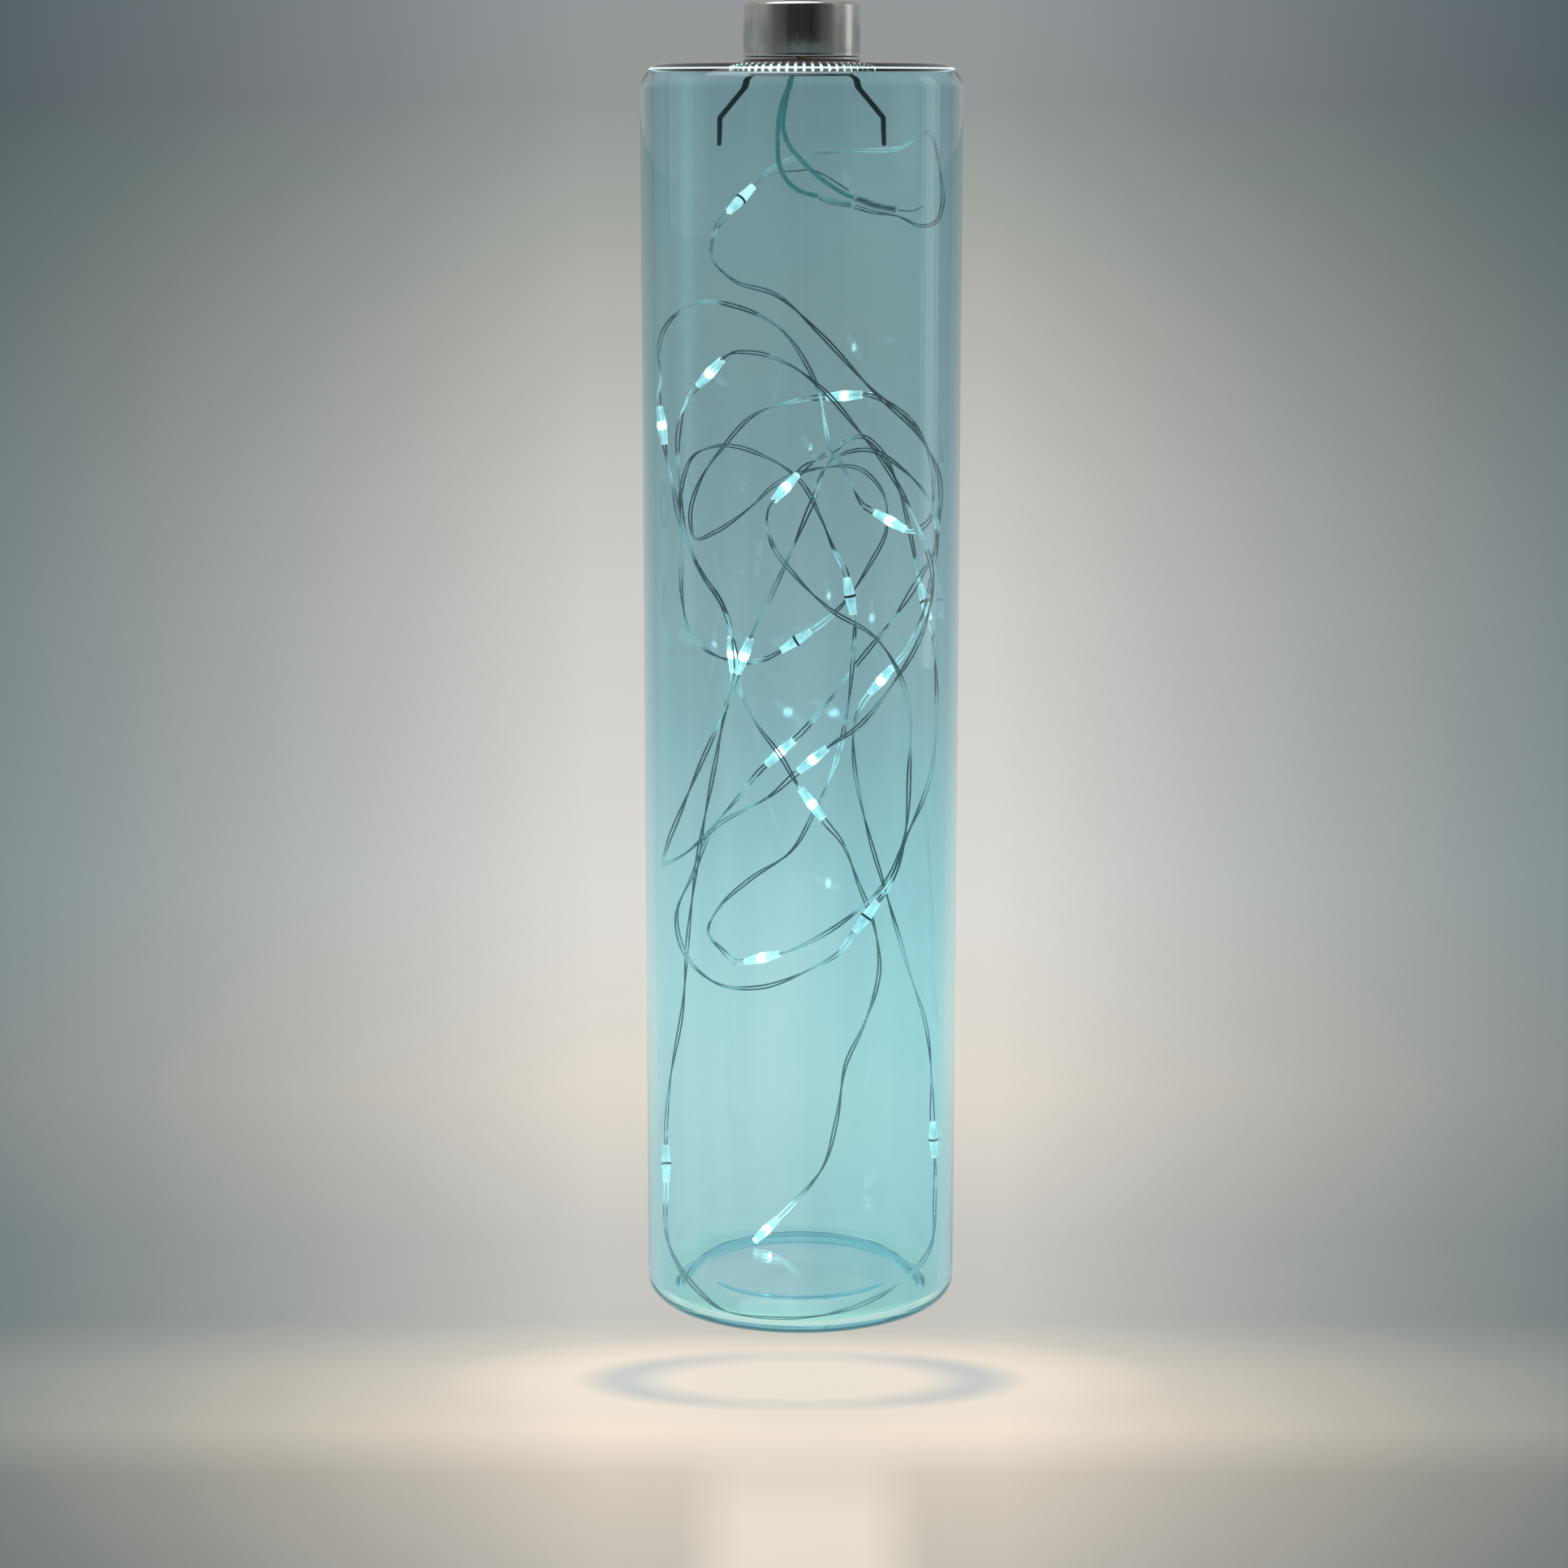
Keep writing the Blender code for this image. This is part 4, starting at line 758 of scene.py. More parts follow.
def glassMaterial(values, turns):
    # Clear glass with a thin teal film on both sides. The film is painted deeper in the middle of its height
    # and paler low down and at the top, and paler on the lower left than on the right: painted light and shade
    made = newMaterial("tealGlass", {"Transmission Weight": 1.0, "IOR": 1.46, "Roughness": 0.0})
    place, parts = ownPlace(made)
    height = parts["Z"]
    radius = awayFromAxis(made, place)
    lower = spread(made, height, 0.0, 1.0, *turns["lower"])
    upper = spread(made, height, 0.0, 1.0, *turns["upper"])

    # The film inside, with clouds and upright bands, and the skin outside. Their change of tone up the glass,
    # and from left to right low down, is painted light and shade
    corner = spread(made, parts["X"], 0.0, 1.0, *turns["corner"])
    film = mixColours(made, corner, values["filmBottom"], values["filmCorner"])
    film = mixColours(made, lower, film, values["filmMiddle"])
    film = mixColours(made, upper, film, values["filmTop"])
    clouds = spread(made, noiseOn(made, 22.0, detail=3.0), 0.0, 0.3)
    film = mixColours(made, clouds, film, (1.0, 1.0, 1.0))
    bands = spread(made, noiseOn(made, 70.0, (1.0, 1.0, 0.08), detail=1.0), 0.0, 0.22, 0.42, 0.62)
    film = mixColours(made, bands, film, values["filmBand"])
    film = mixColours(made, spread(made, height, 1.0, 0.0, *turns["foot"]), film, values["foot"])
    skin = mixColours(made, lower, values["skinBottom"], values["skinMiddle"])
    skin = mixColours(made, upper, skin, values["skinTop"])
    colour = mixColours(made, spread(made, radius, 0.0, 1.0, *turns["skin"]), film, skin)

    # Painted reflection: the top face turns maroon, and glows maroon, where one looks along it
    top = spread(made, height, 0.0, 1.0, *turns["top"])
    facing = addNode(made, "LayerWeight").outputs["Facing"]
    shoulder = spread(made, radius, 0.0, 1.0, *turns["shoulder"])
    shoulder = mathNode(made, "MULTIPLY", shoulder, spread(made, facing, 0.1, 1.0, 0.45, 0.80))
    sheenShare = mathNode(made, "MAXIMUM", shoulder, spread(made, facing, 0.0, 1.0, 0.70, 0.95))
    sheenShare = mathNode(made, "MULTIPLY", top, sheenShare)
    feed(made, mixColours(made, sheenShare, colour, values["sheenTopColour"]), "Base Color")

    # Painted light in the glass: a painted glow low down, a painted highlight line under the top, and painted
    # glints on the flutes of the hole
    strength = spread(made, height, values["glowStrength"], 0.0, *turns["glow"])
    strength = mathNode(made, "ADD", strength, mathNode(made, "MULTIPLY", sheenShare, values["sheenTopStrength"]))
    line = mathNode(made, "COMPARE", height, values["lineHeight"], values["lineHalfWidth"])
    strength = mathNode(made, "ADD", strength, mathNode(made, "MULTIPLY", line, values["lineStrength"]))
    within = mathNode(made, "LESS_THAN", radius, values["holeRadius"] + 0.8 * values["holeEdge"])
    above = mathNode(made, "GREATER_THAN", height, values["height"] - values["wall"])
    rim = mathNode(made, "MULTIPLY", within, above)
    turn = mathNode(made, "MULTIPLY", mathNode(made, "ARCTAN2", parts["Y"], parts["X"]), values["flutes"])
    wave = mathNode(made, "MAXIMUM", mathNode(made, "SINE", turn), 0.0)
    sparks = mathNode(made, "MULTIPLY", mathNode(made, "MULTIPLY", wave, wave), values["sparkleStrength"])
    sparks = mathNode(made, "MULTIPLY", sparks, spread(made, height, 0.2, 1.0, *turns["rim"]))
    strength = mathNode(made, "MULTIPLY", strength, mathNode(made, "SUBTRACT", 1.0, rim))
    feed(made, mathNode(made, "ADD", strength, mathNode(made, "MULTIPLY", rim, sparks)), "Emission Strength")
    glow = mixColours(made, top, values["glow"], values["sheenTopGlow"])
    shine = mathNode(made, "MAXIMUM", rim, line)
    feed(made, mixColours(made, shine, glow, values["sparkle"]), "Emission Color")

    addBump(made, noiseOn(made, 14.0, detail=1.0), 0.08, 1.0 * mm)
    absorb = addNode(made, "VolumeAbsorption", {"Color": values["absorption"], "Density": values["density"]})
    fill(made, made.node_tree.nodes["Material Output"].inputs["Volume"], absorb.outputs["Volume"])
    return made


tealGlass = glassMaterial(glassBody, glassTurns)
glassForm = flute(spinShape(glassProfile(glassBody), glassBody["sides"]), glassBody)
toPiece(glassForm, "glassCylinder", tealGlass, "glass", ("glass_cylinder",), sharp=50.0)
print("glass made")


# Battery holder and its small parts

mouldedBlack = finishMaterial(
    "mouldedBlack", {"Specular IOR Level": 0.4}, (0.012, 0.014, 0.014), (0.03, 0.032, 0.032), 400.0,
    roughness=(0.35, 0.6), bump=(0.3, 0.03 * mm),
)
mouldedWhite = finishMaterial(
    "mouldedWhite", {}, (0.70, 0.70, 0.67), (0.80, 0.80, 0.77), 300.0,
    roughness=(0.35, 0.55), bump=(0.2, 0.03 * mm),
)
greyRubber = finishMaterial(
    "greyRubber", {}, (0.06, 0.07, 0.07), (0.13, 0.14, 0.14), 600.0,
    roughness=(0.6, 0.9), bump=(0.4, 0.04 * mm),
)
cellSteel = finishMaterial(
    "cellSteel", {"Metallic": 1.0}, (0.60, 0.60, 0.59), (0.74, 0.74, 0.73), 500.0,
    roughness=(0.18, 0.35), bump=(0.1, 0.01 * mm),
)
pressedBrass = finishMaterial(
    "pressedBrass", {"Metallic": 1.0}, (0.66, 0.52, 0.28), (0.80, 0.67, 0.42), 450.0,
    roughness=(0.2, 0.42), bump=(0.2, 0.02 * mm),
)
boardLacquer = finishMaterial(
    "boardLacquer", {"Coat Weight": 0.5}, (0.02, 0.14, 0.06), (0.05, 0.24, 0.10), 350.0,
    roughness=(0.25, 0.4), bump=(0.2, 0.02 * mm),
)
springWire = finishMaterial(
    "springWire", {"Metallic": 0.7, "Coat Weight": 0.3}, (0.012, 0.03, 0.032), (0.03, 0.055, 0.055), 600.0,
    roughness=(0.2, 0.45), bump=(0.2, 0.02 * mm),
)
satinNickel = finishMaterial(
    "satinNickel", {"Metallic": 1.0}, (0.50, 0.49, 0.46), (0.64, 0.62, 0.58), 700.0,
    roughness=(0.16, 0.3), bump=(0.12, 0.01 * mm), stretch=(1.0, 1.0, 0.04),
)


holderPlating = {
    "radius": 11.4 * mm,
    "height": 261.65 * mm,
    "low": (0.60, 0.59, 0.55),
    "high": (0.74, 0.72, 0.68),
}


def plateRim(made, values):
    # Turns what lies outside the radius and above the height into bright plating
    radius, height = values["radius"], values["height"]
    place, parts = ownPlace(made)
    outer = spread(made, awayFromAxis(made, place), 0.0, 1.0, radius, radius + 0.1 * mm)
    both = mathNode(made, "MULTIPLY", outer, spread(made, parts["Z"], 0.0, 1.0, height, height + 0.05 * mm))
    colour = made.node_tree.nodes["Principled BSDF"].inputs["Base Color"].links[0].from_socket
    plating = mixColours(made, noiseOn(made, 700.0), values["low"], values["high"])
    feed(made, mixColours(made, both, colour, plating), "Base Color")
    feed(made, both, "Metallic")


platedHolder = finishMaterial(
    "platedHolder", {"Specular IOR Level": 0.4}, (0.012, 0.014, 0.014), (0.03, 0.032, 0.032), 400.0,
    roughness=(0.3, 0.5), bump=(0.3, 0.03 * mm),
)
plateRim(platedHolder, holderPlating)

cadFinishes = {
    "rubber_gasket": greyRubber,
    "lead_grommet": greyRubber,
    "holder_base": platedHolder,
    "resistor": mouldedBlack,
    "battery_tray": mouldedWhite,
    "switch_slider": mouldedWhite,
    "switch_body": satinNickel,
    "leg_pin_left": satinNickel,
    "leg_pin_right": satinNickel,
    "coin_cell_lower": cellSteel,
    "coin_cell_upper": cellSteel,
    "contact_negative": pressedBrass,
    "contact_positive": pressedBrass,
    "feed_strip": pressedBrass,
    "circuit_board": boardLacquer,
}
for node, look in cadFinishes.items():
    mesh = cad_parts[node].data
    mesh.materials.clear()
    mesh.materials.append(look)
print("inner parts finished")


# Spring legs

springLegs = {
    "wireRadius": 0.55 * mm,
    "pinOffset": 6.2 * mm,
    "pinHeight": 259.25 * mm,
    "lineHeight": 258.1 * mm,
    "hookRadius": 1.15 * mm,
    "hookAngle": 240.0,
    "kneeReach": 9.7 * mm,
    "elbow": (16.7 * mm, 8.2 * mm),  # reach, and drop below the line
    "tip": (16.9 * mm, 13.9 * mm),
    "bend": 1.0 * mm,
}


def roundedPath(corners, radius, steps=8):
    # The corners of a path with an arc in place of each inner one
    path = [Vector(corners[0])]
    for before, corner, after in zip(corners, corners[1:], corners[2:]):
        back = (Vector(before) - corner).normalized()
        ahead = (Vector(after) - corner).normalized()
        half = back.angle(ahead) / 2.0
        centre = corner + (back + ahead).normalized() * (radius / math.sin(half))
        start = corner + back * (radius / math.tan(half)) - centre
        turn = math.pi - 2.0 * half
        axis = ahead.cross(back)
        for step in range(steps + 1):
            path.append(centre + Quaternion(axis, turn * step / steps) @ start)
    path.append(Vector(corners[-1]))
    return path


def makeLegs(values, look):
    centre = Vector((values["pinOffset"], 0.0, values["pinHeight"]))
    hook = []
    for step in range(25):
        angle = math.radians(-90.0 - values["hookAngle"] * (1.0 - step / 24.0))
        hook.append(centre + values["hookRadius"] * Vector((math.cos(angle), 0.0, math.sin(angle))))
    corners = [hook[-1], Vector((values["kneeReach"], 0.0, values["lineHeight"]))]
    for reach, drop in (values["elbow"], values["tip"]):
        corners.append(Vector((reach, 0.0, values["lineHeight"] - drop)))
    path = hook[:-1] + roundedPath(corners, values["bend"])
    for side, name in ((-1.0, "left"), (1.0, "right")):
        points = [Vector((side * point.x, point.y, point.z)) for point in path]
        mesh = tubeMesh("leg", points, values["wireRadius"], rings=4, roundEnds=True)
        replaced = (f"spring_leg_{name}",)
        meshPiece(mesh, f"springLeg_{name}", look, f"leg_{name}", replaced, sharp=60.0)


makeLegs(springLegs, springWire)
print("legs made")


# Cap, strap, rivets and loop

capShell = {
    "radius": 12.0 * mm,
    "wall": 0.5 * mm,
    "bottom": 262.25 * mm,
    "top": 273.15 * mm,
    "edge": 0.9 * mm,
    "lipHeight": 0.7 * mm,
    "lipDepth": 0.05 * mm,
    "lipStep": 0.15 * mm,
    "lipRound": 0.3 * mm,
    "sides": 160,
    "knobSlot": (3.8 * mm, 1.6 * mm),
    "slotCorner": 0.5 * mm,
    "knobOffset": 7.0 * mm,
    "rivetOffset": 4.4 * mm,
    "rivetHole": 0.7 * mm,
}


def cutWith(piece, tool):
    # Cuts a tool out of a piece and applies the cut
    cutter = bpy.data.meshes.new("cutter")
    tool.to_mesh(cutter)
    tool.free()
    helper = bpy.data.objects.new("cutter", cutter)
    scene.collection.objects.link(helper)
    cut = piece.modifiers.new("cut", "BOOLEAN")
    cut.operation = "DIFFERENCE"
    cut.solver = "EXACT"
    cut.object = helper
    solved = piece.evaluated_get(bpy.context.evaluated_depsgraph_get())
    mesh = bpy.data.meshes.new_from_object(solved)
    piece.modifiers.clear()
    piece.data = mesh
    bpy.data.objects.remove(helper)


def drillPair(piece, radius, depth, offset, height):
    # Drills the two rivet holes, in front and behind
    for side in (-1.0, 1.0):
        hole = bmesh.new()
        bmesh.ops.create_cone(hole, cap_ends=True, segments=32, radius1=radius, radius2=radius, depth=depth)
        bmesh.ops.translate(hole, vec=(0.0, side * offset, height), verts=hole.verts)
        cutWith(piece, hole)


def makeCap(values, look):
    radius, wall, edge = values["radius"], values["wall"], values["edge"]
    innerRadius = radius - wall
    top, bottom = values["top"], values["bottom"]
    lip, step, groove = bottom + values["lipHeight"], values["lipStep"], radius - values["lipDepth"]
    rounding = values["lipRound"]
    profile = [(0.0, top)]
    profile += arc((radius - edge, top - edge), edge, 90.0, 0.0, 10)
    profile += [(radius, lip + step), (groove, lip), (groove, lip - step), (radius, lip - 2.0 * step)]
    profile += arc((radius - rounding, bottom + rounding), rounding, 0.0, -90.0, 5)
    profile.append((innerRadius, bottom))
    profile += arc((radius - edge, top - edge), edge - wall, 0.0, 90.0, 5)
    profile.append((0.0, top - wall))
    form = spinShape(profile, values["sides"])
    cap = toPiece(form, "capShell", look, "cap", ("cap_shell",), sharp=30.0)
    slot = bmesh.new()
    bmesh.ops.create_cube(slot, size=1.0)
    bmesh.ops.scale(slot, vec=(*values["knobSlot"], 4.0 * wall), verts=slot.verts)
    uprights = [side for side in slot.edges if abs(side.verts[0].co.z - side.verts[1].co.z) > wall]
    roundEdges(slot, uprights, values["slotCorner"], 4)
    bmesh.ops.translate(slot, vec=(0.0, values["knobOffset"], top), verts=slot.verts)
    cutWith(cap, slot)
    drillPair(cap, values["rivetHole"], 4.0 * wall, values["rivetOffset"], top)


hangingLoop = {
    "wireRadius": 0.8 * mm,
    "width": 10.0 * mm,
    "height": 9.5 * mm,
    "corner": 1.8 * mm,
    "barHeight": 274.25 * mm,
    "strapHeight": 273.3 * mm,
    "strapThickness": 0.5 * mm,
    "strapWidth": 3.0 * mm,
    "strapFoot": 4.4 * mm,
    "strapEdge": 0.12 * mm,
    "footMargin": 1.6 * mm,
    "footStep": 1.5 * mm,
    "archRadius": 1.1 * mm,
    "archFlare": (0.6 * mm, 0.12 * mm),  # how the arch runs out into its feet
    "strapHole": 0.7 * mm,
    "strapHoleDepth": 3.0 * mm,
    "rivetRadius": 0.5 * mm,
    "headRadius": 1.1 * mm,
    "headHeight": 0.45 * mm,
    "headGap": 0.15 * mm,
    "tailRadius": 0.8 * mm,
    "tailThickness": 0.25 * mm,
    "tailTop": 272.5 * mm,
}


def makeStrap(values, look):
    # The strap over the loop's bar: a strip that runs over its arch, given its thickness and rounded edges
    radius, base = values["archRadius"], values["strapHeight"]
    out, up = values["archFlare"]
    end = values["strapFoot"] + values["footMargin"]
    foot = [(end, base), (end - values["footStep"], base), (radius + out, base), (radius, base + up)]
    line = [(-along, height) for along, height in foot]
    line += arc((0.0, values["barHeight"]), radius, 180.0, 0.0, 20)
    line += foot[::-1]
    form = bmesh.new()
    half = values["strapWidth"] / 2.0
    corners = [form.verts.new((-half, along, height)) for along, height in line]
    edges = [form.edges.new(pair) for pair in zip(corners, corners[1:])]
    drawn = bmesh.ops.extrude_edge_only(form, edges=edges)
    moved = [item for item in drawn["geom"] if isinstance(item, bmesh.types.BMVert)]
    bmesh.ops.translate(form, vec=(2.0 * half, 0.0, 0.0), verts=moved)
    bmesh.ops.recalc_face_normals(form, faces=form.faces)
    if sum(face.normal.z for face in form.faces) < 0.0:
        bmesh.ops.reverse_faces(form, faces=form.faces)
    bmesh.ops.solidify(form, geom=form.faces, thickness=-values["strapThickness"])
    bmesh.ops.recalc_face_normals(form, faces=form.faces)
    rims = [edge for edge in form.edges if len(edge.link_faces) == 2 and edge.calc_face_angle() > 1.0]
    roundEdges(form, rims, values["strapEdge"], 3)
    strap = toPiece(form, "hangerStrap", look, "cap", ("hanger_bracket",), sharp=40.0)
    drillPair(strap, values["strapHole"], values["strapHoleDepth"], values["strapFoot"], base)


def makeRivets(values, look):
    bottom = values["strapHeight"] + values["strapThickness"] + values["headGap"]
    shank, tail, tailTop = values["rivetRadius"], values["tailRadius"], values["tailTop"]
    tailBottom = tailTop - values["tailThickness"]
    profile = [
        (values["headRadius"] * across, bottom + values["headHeight"] * up)
        for across, up in arc((0.0, 0.0), 1.0, 90.0, 0.0, 8)
    ]
    profile += [(shank, bottom), (shank, tailTop), (tail, tailTop), (tail, tailBottom), (0.0, tailBottom)]
    for side, name in ((-1.0, "front"), (1.0, "back")):
        form = spinShape(profile, 40)
        bmesh.ops.translate(form, vec=(0.0, side * values["strapFoot"], 0.0), verts=form.verts)
        toPiece(form, f"rivet_{name}", look, "cap", (f"bracket_rivet_{name}",), sharp=45.0)


def makeLoop(values, look):
    half = values["width"] / 2.0
    corner = values["corner"]
    reach = half - corner
    points = [(reach * step / 6.0, 0.0) for step in range(-5, 6)]
    points += arc((reach, corner), corner, -90.0, 0.0, 10)
    points += arc((0.0, values["height"] - half), half, 0.0, 180.0, 40)
    points += arc((-reach, corner), corner, 180.0, 270.0, 10)
    line = [Vector((across, 0.0, values["barHeight"] + height)) for across, height in points]
    mesh = tubeMesh("loop", line, values["wireRadius"], rings=5, closed=True)
    meshPiece(mesh, "hangingLoop", look, "loop", ("hanging_loop",), sharp=60.0)


makeCap(capShell, satinNickel)
makeStrap(hangingLoop, satinNickel)
makeRivets(hangingLoop, satinNickel)
makeLoop(hangingLoop, satinNickel)
print("cap and loop made")


# Floor, light and air

studio = {
    "floorHeight": -21.0 * mm,
    "floorSize": 300.0,
    "floorShare": 0.78,  # how much of the near floor's tone is shown whatever the light
    "eye": (0.7475, 0.275),  # how far before the axis, and above the floor, the tones run together
    "leastAhead": 0.2,  # keeps the look aside from growing without end
    "asideShift": 0.05,
    "farFade": (1.0, 2.5),  # between these distances the floor loses its own light and shadow
    "slopeReach": 0.46,  # the steepest look down at the floor that still has a tone of its own
    # Painted light: a glow that grows paler from the horizon towards the lamp, a darker band just behind it,
    # and the bright pool of light under it
    "tones": [  # how steeply one looks down, and colour
        (0.000, (0.300, 0.312, 0.314)),
        (0.020, (0.335, 0.362, 0.340)),
        (0.060, (0.455, 0.455, 0.418)),
        (0.140, (0.650, 0.640, 0.605)),
        (0.220, (0.750, 0.745, 0.705)),
        (0.280, (0.785, 0.725, 0.645)),
        (0.325, (0.610, 0.600, 0.560)),
        (0.350, (0.600, 0.590, 0.545)),
        (0.366, (0.880, 0.785, 0.675)),
        (0.383, (0.970, 0.840, 0.700)),
        (0.398, (0.700, 0.620, 0.530)),
        (0.450, (0.490, 0.470, 0.430)),
    ],
    "sideReach": 0.22,
    "sides": [  # how far aside one looks, and how much of the tone is left: painted shade to the sides
        (0.000, (1.00, 1.00, 1.00)),
        (0.055, (1.00, 1.00, 1.00)),
        (0.106, (0.73, 0.76, 0.78)),
        (0.142, (0.58, 0.62, 0.64)),
        (0.180, (0.43, 0.49, 0.52)),
        (0.220, (0.31, 0.38, 0.42)),
    ],
    "through": [  # the same painted shade for what the glass bends aside
        (0.000, (1.00, 1.00, 1.00)),
        (0.200, (1.00, 1.00, 1.00)),
        (0.400, (0.70, 0.80, 0.84)),
        (0.800, (0.55, 0.66, 0.70)),
    ],
    "throughReach": 0.8,
    "ringReach": 0.08,
    "ringCentre": -0.0006,
    "ringFlatness": 2.55,
    "ringFaint": 0.35,  # how much of the ring is left in front and behind
    "ringClear": (8.0 * mm, 34.0 * mm),  # how far aside the ring goes from faint to full
    "ringOut": 46.0 * mm,  # where the ring begins to run out into the tones
    "ring": [  # distance from the light's axis, and colour of the painted pool of light under it, with its painted ring of shadow
        (0.000, (1.00, 0.91, 0.79)),
        (0.0266, (0.98, 0.88, 0.76)),
        (0.0370, (0.66, 0.68, 0.65)),
        (0.0408, (0.64, 0.66, 0.63)),
        (0.0510, (0.95, 0.84, 0.71)),
        (0.0800, (0.88, 0.79, 0.67)),
    ],
    "column": (0.012, 0.024),  # half the width of the painted reflection of the light in the floor, inside and outside
    "columnTone": (0.92, 0.82, 0.70),
    "columnShare": 0.75,
    "columnStart": (0.375, 0.41),  # how steeply one looks down where it comes in, and where it goes out
    "columnEnd": (0.45, 0.50),
    "horizon": (0.300, 0.312, 0.314),
    "zenith": (0.30, 0.32, 0.33),
    "light": (0.42, 0.43, 0.44),  # what the object is lit with from all round
}


def seenRays(made, *kinds):
    # Is 1 for rays of the camera, and for those of the named kinds
    rays = addNode(made, "LightPath").outputs
    total = rays["Is Camera Ray"]
    for kind in kinds:
        total = mathNode(made, "MAXIMUM", total, rays[f"Is {kind} Ray"])
    return total


def toneRamp(made, stops, reach, value):
    # Colours along a value between 0 and the reach
    ramp = addNode(made, "ValToRGB", {"Fac": mathNode(made, "DIVIDE", value, reach)})
    elements = ramp.color_ramp.elements
    while len(elements) < len(stops):
        elements.new(1.0)
    for element, (place, colour) in zip(elements, stops):
        element.position = place / reach
        element.color = (*colour, 1.0)
    return ramp.outputs["Color"]


def dimSides(made, values, tone, aside):
    # Painted shade: takes the tone down to the sides, one way for the camera and another for what the glass
    # bends aside
    bent = toneRamp(made, values["through"], values["throughReach"], aside)
    straight = toneRamp(made, values["sides"], values["sideReach"], aside)
    return mixColours(made, 1.0, tone, mixColours(made, seenRays(made), bent, straight), "MULTIPLY")


def blendShaders(made, share, first, second, output):
    blend = addNode(made, "MixShader", {0: share, 1: first, 2: second}).outputs["Shader"]
    fill(made, made.node_tree.nodes[output].inputs["Surface"], blend)


def floorMaterial(values):
    # The floor shows a painted tone for each direction in which the camera looks down at it: a painted glow
    # round the lamp that dims to the sides, with the painted ring of light and shadow and the painted
    # reflection of the light. It keeps a share of the light and shadow that falls on it
    made = newMaterial("paleFloor", {"Roughness": 0.7, "Specular IOR Level": 0.2})
    place, parts = ownPlace(made)
    back, height = values["eye"]
    away = mathNode(made, "MAXIMUM", mathNode(made, "ADD", parts["Y"], back), values["leastAhead"])
    slope = mathNode(made, "DIVIDE", height, away)
    side = mathNode(made, "ABSOLUTE", parts["X"])
    aside = mathNode(made, "DIVIDE", side, mathNode(made, "ADD", away, values["asideShift"]))
    tone = dimSides(made, values, toneRamp(made, values["tones"], values["slopeReach"], slope), aside)

    flatness = values["ringFlatness"]
    radius = awayFromAxis(made, place, (1.0, flatness, 0.0), (0.0, -flatness * values["ringCentre"], 0.0))
    ring = toneRamp(made, values["ring"], values["ringReach"], radius)
    clear = spread(made, side, values["ringFaint"], 1.0, *values["ringClear"])
    ring = mixColours(made, clear, values["ring"][1][1], ring)
    out = spread(made, radius, 0.0, 1.0, values["ringOut"], values["ringReach"])
    tone = mixColours(made, out, ring, tone)

    # Painted reflection of the light in the floor
    near = spread(made, slope, 0.0, 1.0, *values["columnStart"])
    near = mathNode(made, "MULTIPLY", near, spread(made, slope, 1.0, 0.0, *values["columnEnd"]))
    bright = spread(made, side, values["columnShare"], 0.0, *values["column"])
    bright = mathNode(made, "MULTIPLY", near, bright)
    tone = mixColours(made, bright, tone, values["columnTone"])

    feed(made, tone, "Base Color")
    lit = made.node_tree.nodes["Principled BSDF"].outputs["BSDF"]
    painted = addNode(made, "Emission", {"Color": tone}).outputs["Emission"]
    share = spread(made, away, values["floorShare"], 1.0, *values["farFade"])
    share = mathNode(made, "MULTIPLY", seenRays(made, "Glossy", "Transmission"), share)
    blendShaders(made, share, lit, painted, "Material Output")
    return made


def gridObject(name, size, look):
    form = bmesh.new()
    bmesh.ops.create_grid(form, x_segments=1, y_segments=1, size=size)
    mesh = bpy.data.meshes.new(name)
    form.to_mesh(mesh)
    form.free()
    mesh.materials.append(look)
    sheet = bpy.data.objects.new(name, mesh)
    scene.collection.objects.link(sheet)
    return sheet


def addFloor(values):
    floor = gridObject("floor", values["floorSize"], floorMaterial(values))
    floor.location.z = values["floorHeight"]


def addWorld(values):
    world = bpy.data.worlds.new("studio")
    scene.world = world
    world.use_nodes = True
    ways = addNode(world, "SeparateXYZ", {"Vector": addNode(world, "TexCoord").outputs["Generated"]}).outputs
    ahead = mathNode(world, "MAXIMUM", ways["Y"], values["leastAhead"])
    aside = mathNode(world, "DIVIDE", mathNode(world, "ABSOLUTE", ways["X"]), ahead)
    rise = [(0.0, values["horizon"]), (0.03, values["zenith"]), (1.0, values["zenith"])]
    # Painted shade: the backdrop dims to the sides
    tone = dimSides(world, values, toneRamp(world, rise, 1.0, ways["Z"]), aside)
    painted = addNode(world, "Background", {"Color": tone}).outputs["Background"]
    light = world.node_tree.nodes["Background"]
    fill(world, light.inputs["Color"], values["light"])
    blendShaders(world, seenRays(world, "Transmission"), light.outputs["Background"], painted, "World Output")


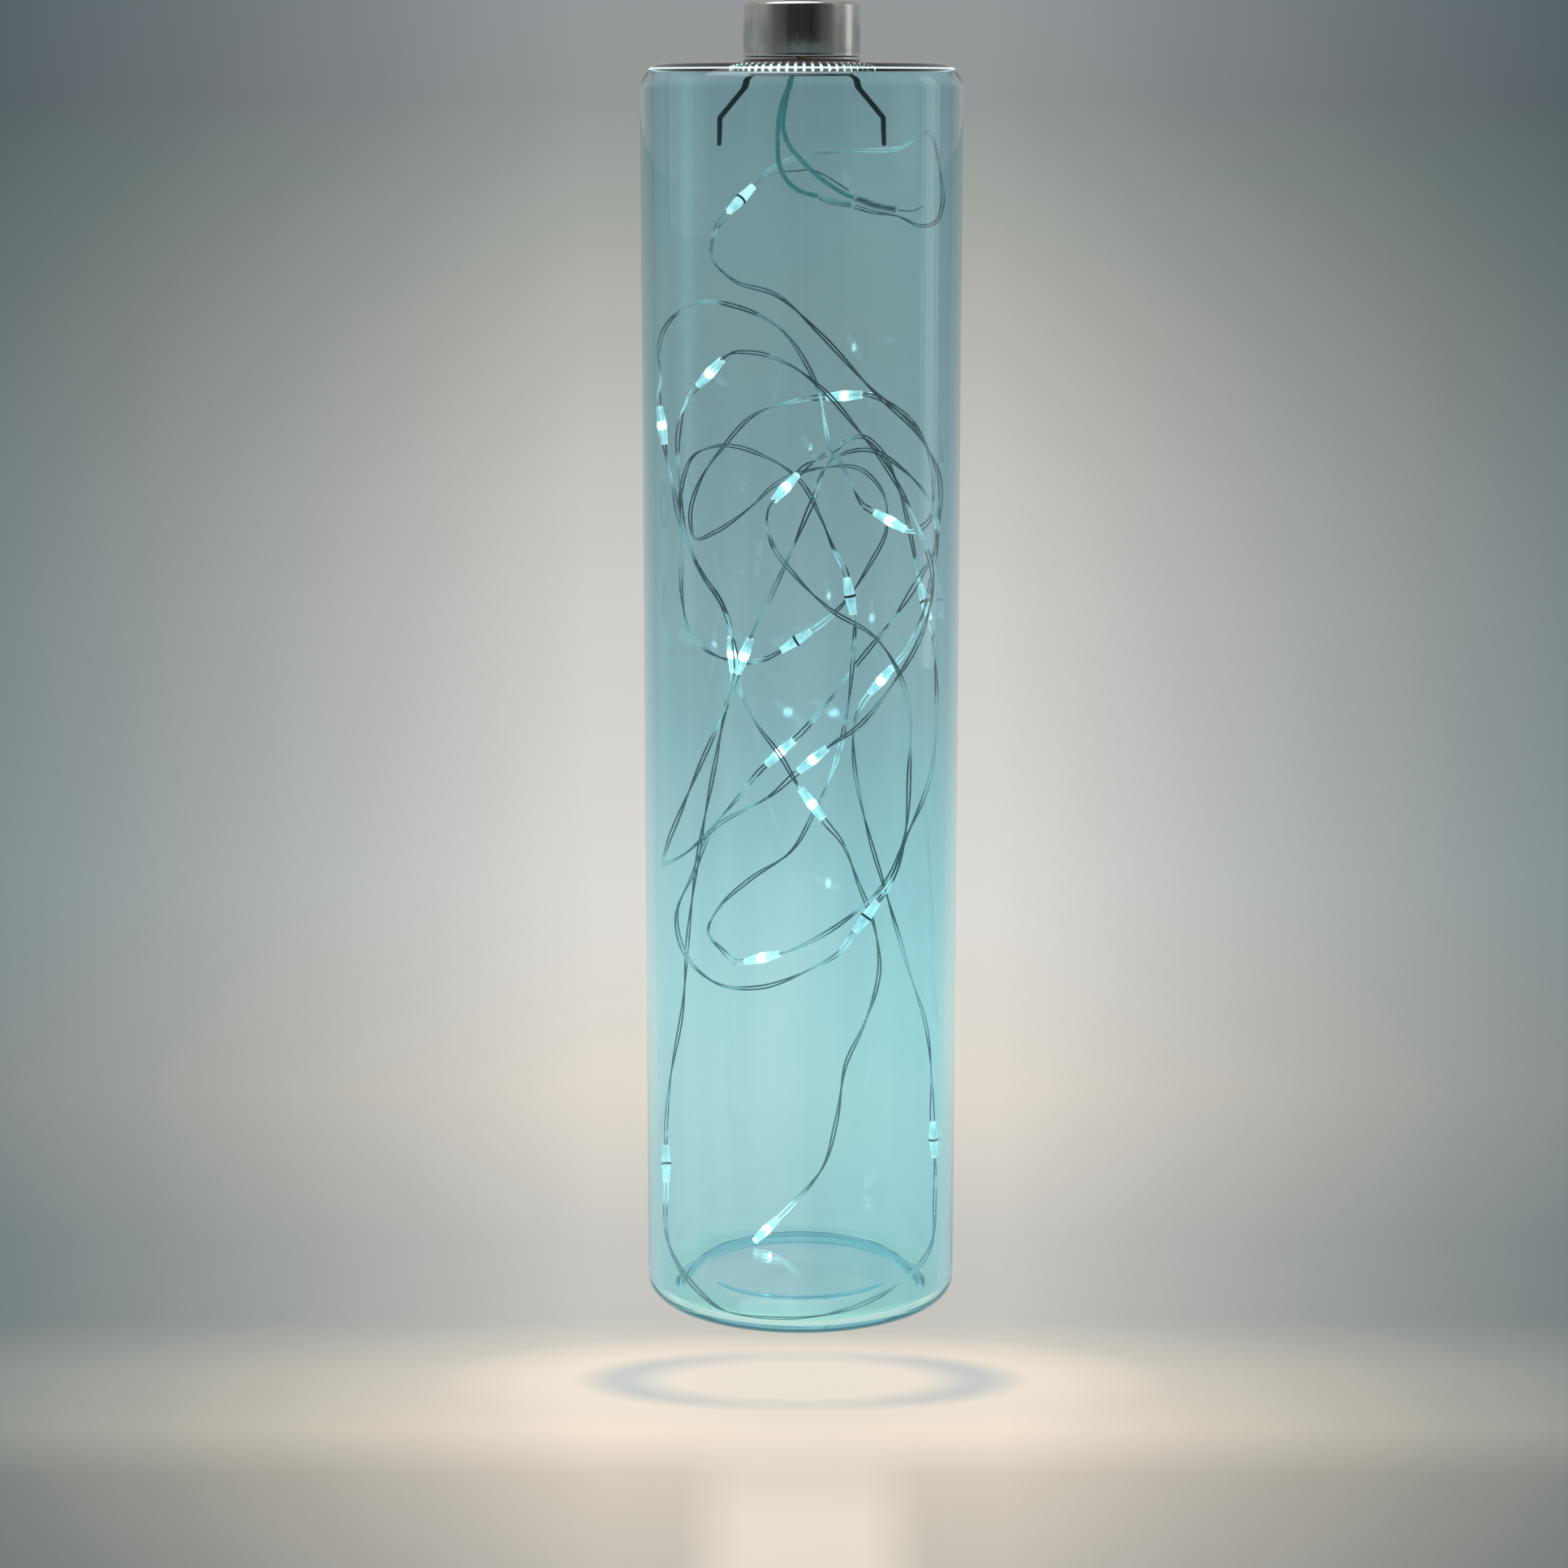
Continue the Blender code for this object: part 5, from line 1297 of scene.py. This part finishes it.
# A wide dark card behind the camera, which only the shiny surfaces see
darkCard = {
    "place": (0.0, -0.58, 1.48),
    "halfSize": 1.5,
    "tones": [(0.0, 0.022), (0.30, 0.026), (0.45, 0.10), (0.80, 0.125), (1.20, 0.20), (1.50, 0.24)],
}


def addDarkCard(values):
    made = newMaterial("darkCard", {"Base Color": (0.0, 0.0, 0.0), "Roughness": 1.0})
    _, parts = ownPlace(made)
    greys = [(place, (level, level, level)) for place, level in values["tones"]]
    tone = toneRamp(made, greys, values["halfSize"], mathNode(made, "ABSOLUTE", parts["X"]))
    shown = addNode(made, "Emission", {"Color": tone}).outputs["Emission"]
    fill(made, made.node_tree.nodes["Material Output"].inputs["Surface"], shown)
    card = gridObject("darkCard", values["halfSize"], made)
    card.location = values["place"]
    card.rotation_euler = (math.radians(90.0), 0.0, 0.0)
    card.visible_camera = False
    card.visible_diffuse = False
    card.visible_transmission = False
    card.visible_shadow = False


softBoxes = {
    "overhead": {"place": (-0.2, -0.15, 1.2), "size": (1.1, 1.1), "power": 8.0, "aim": (0.0, 0.0, 0.1)},
    "rightStrip": {"place": (0.96, 0.27, 0.35), "size": (0.28, 0.8), "power": 0.5, "aim": (0.0, 0.0, 0.25)},
    "leftFill": {
        "place": (-1.2, 0.1, 0.6), "size": (0.9, 0.9), "power": 1.2, "aim": (0.0, 0.0, 0.15), "glossy": False,
    },
}


def addSoftBoxes(boxes):
    for name, values in boxes.items():
        lamp = bpy.data.lights.new(name, "AREA")
        lamp.shape = "RECTANGLE"
        lamp.size, lamp.size_y = values["size"]
        lamp.energy = values["power"]
        box = bpy.data.objects.new(name, lamp)
        box.location = values["place"]
        way = Vector(values["aim"]) - Vector(values["place"])
        box.rotation_euler = way.to_track_quat("-Z", "Y").to_euler()
        box.visible_camera = False
        box.visible_glossy = values.get("glossy", True)
        scene.collection.objects.link(box)


addFloor(studio)
addWorld(studio)
addDarkCard(darkCard)
addSoftBoxes(softBoxes)
scene.view_settings.view_transform = "Standard"
print("studio lit")
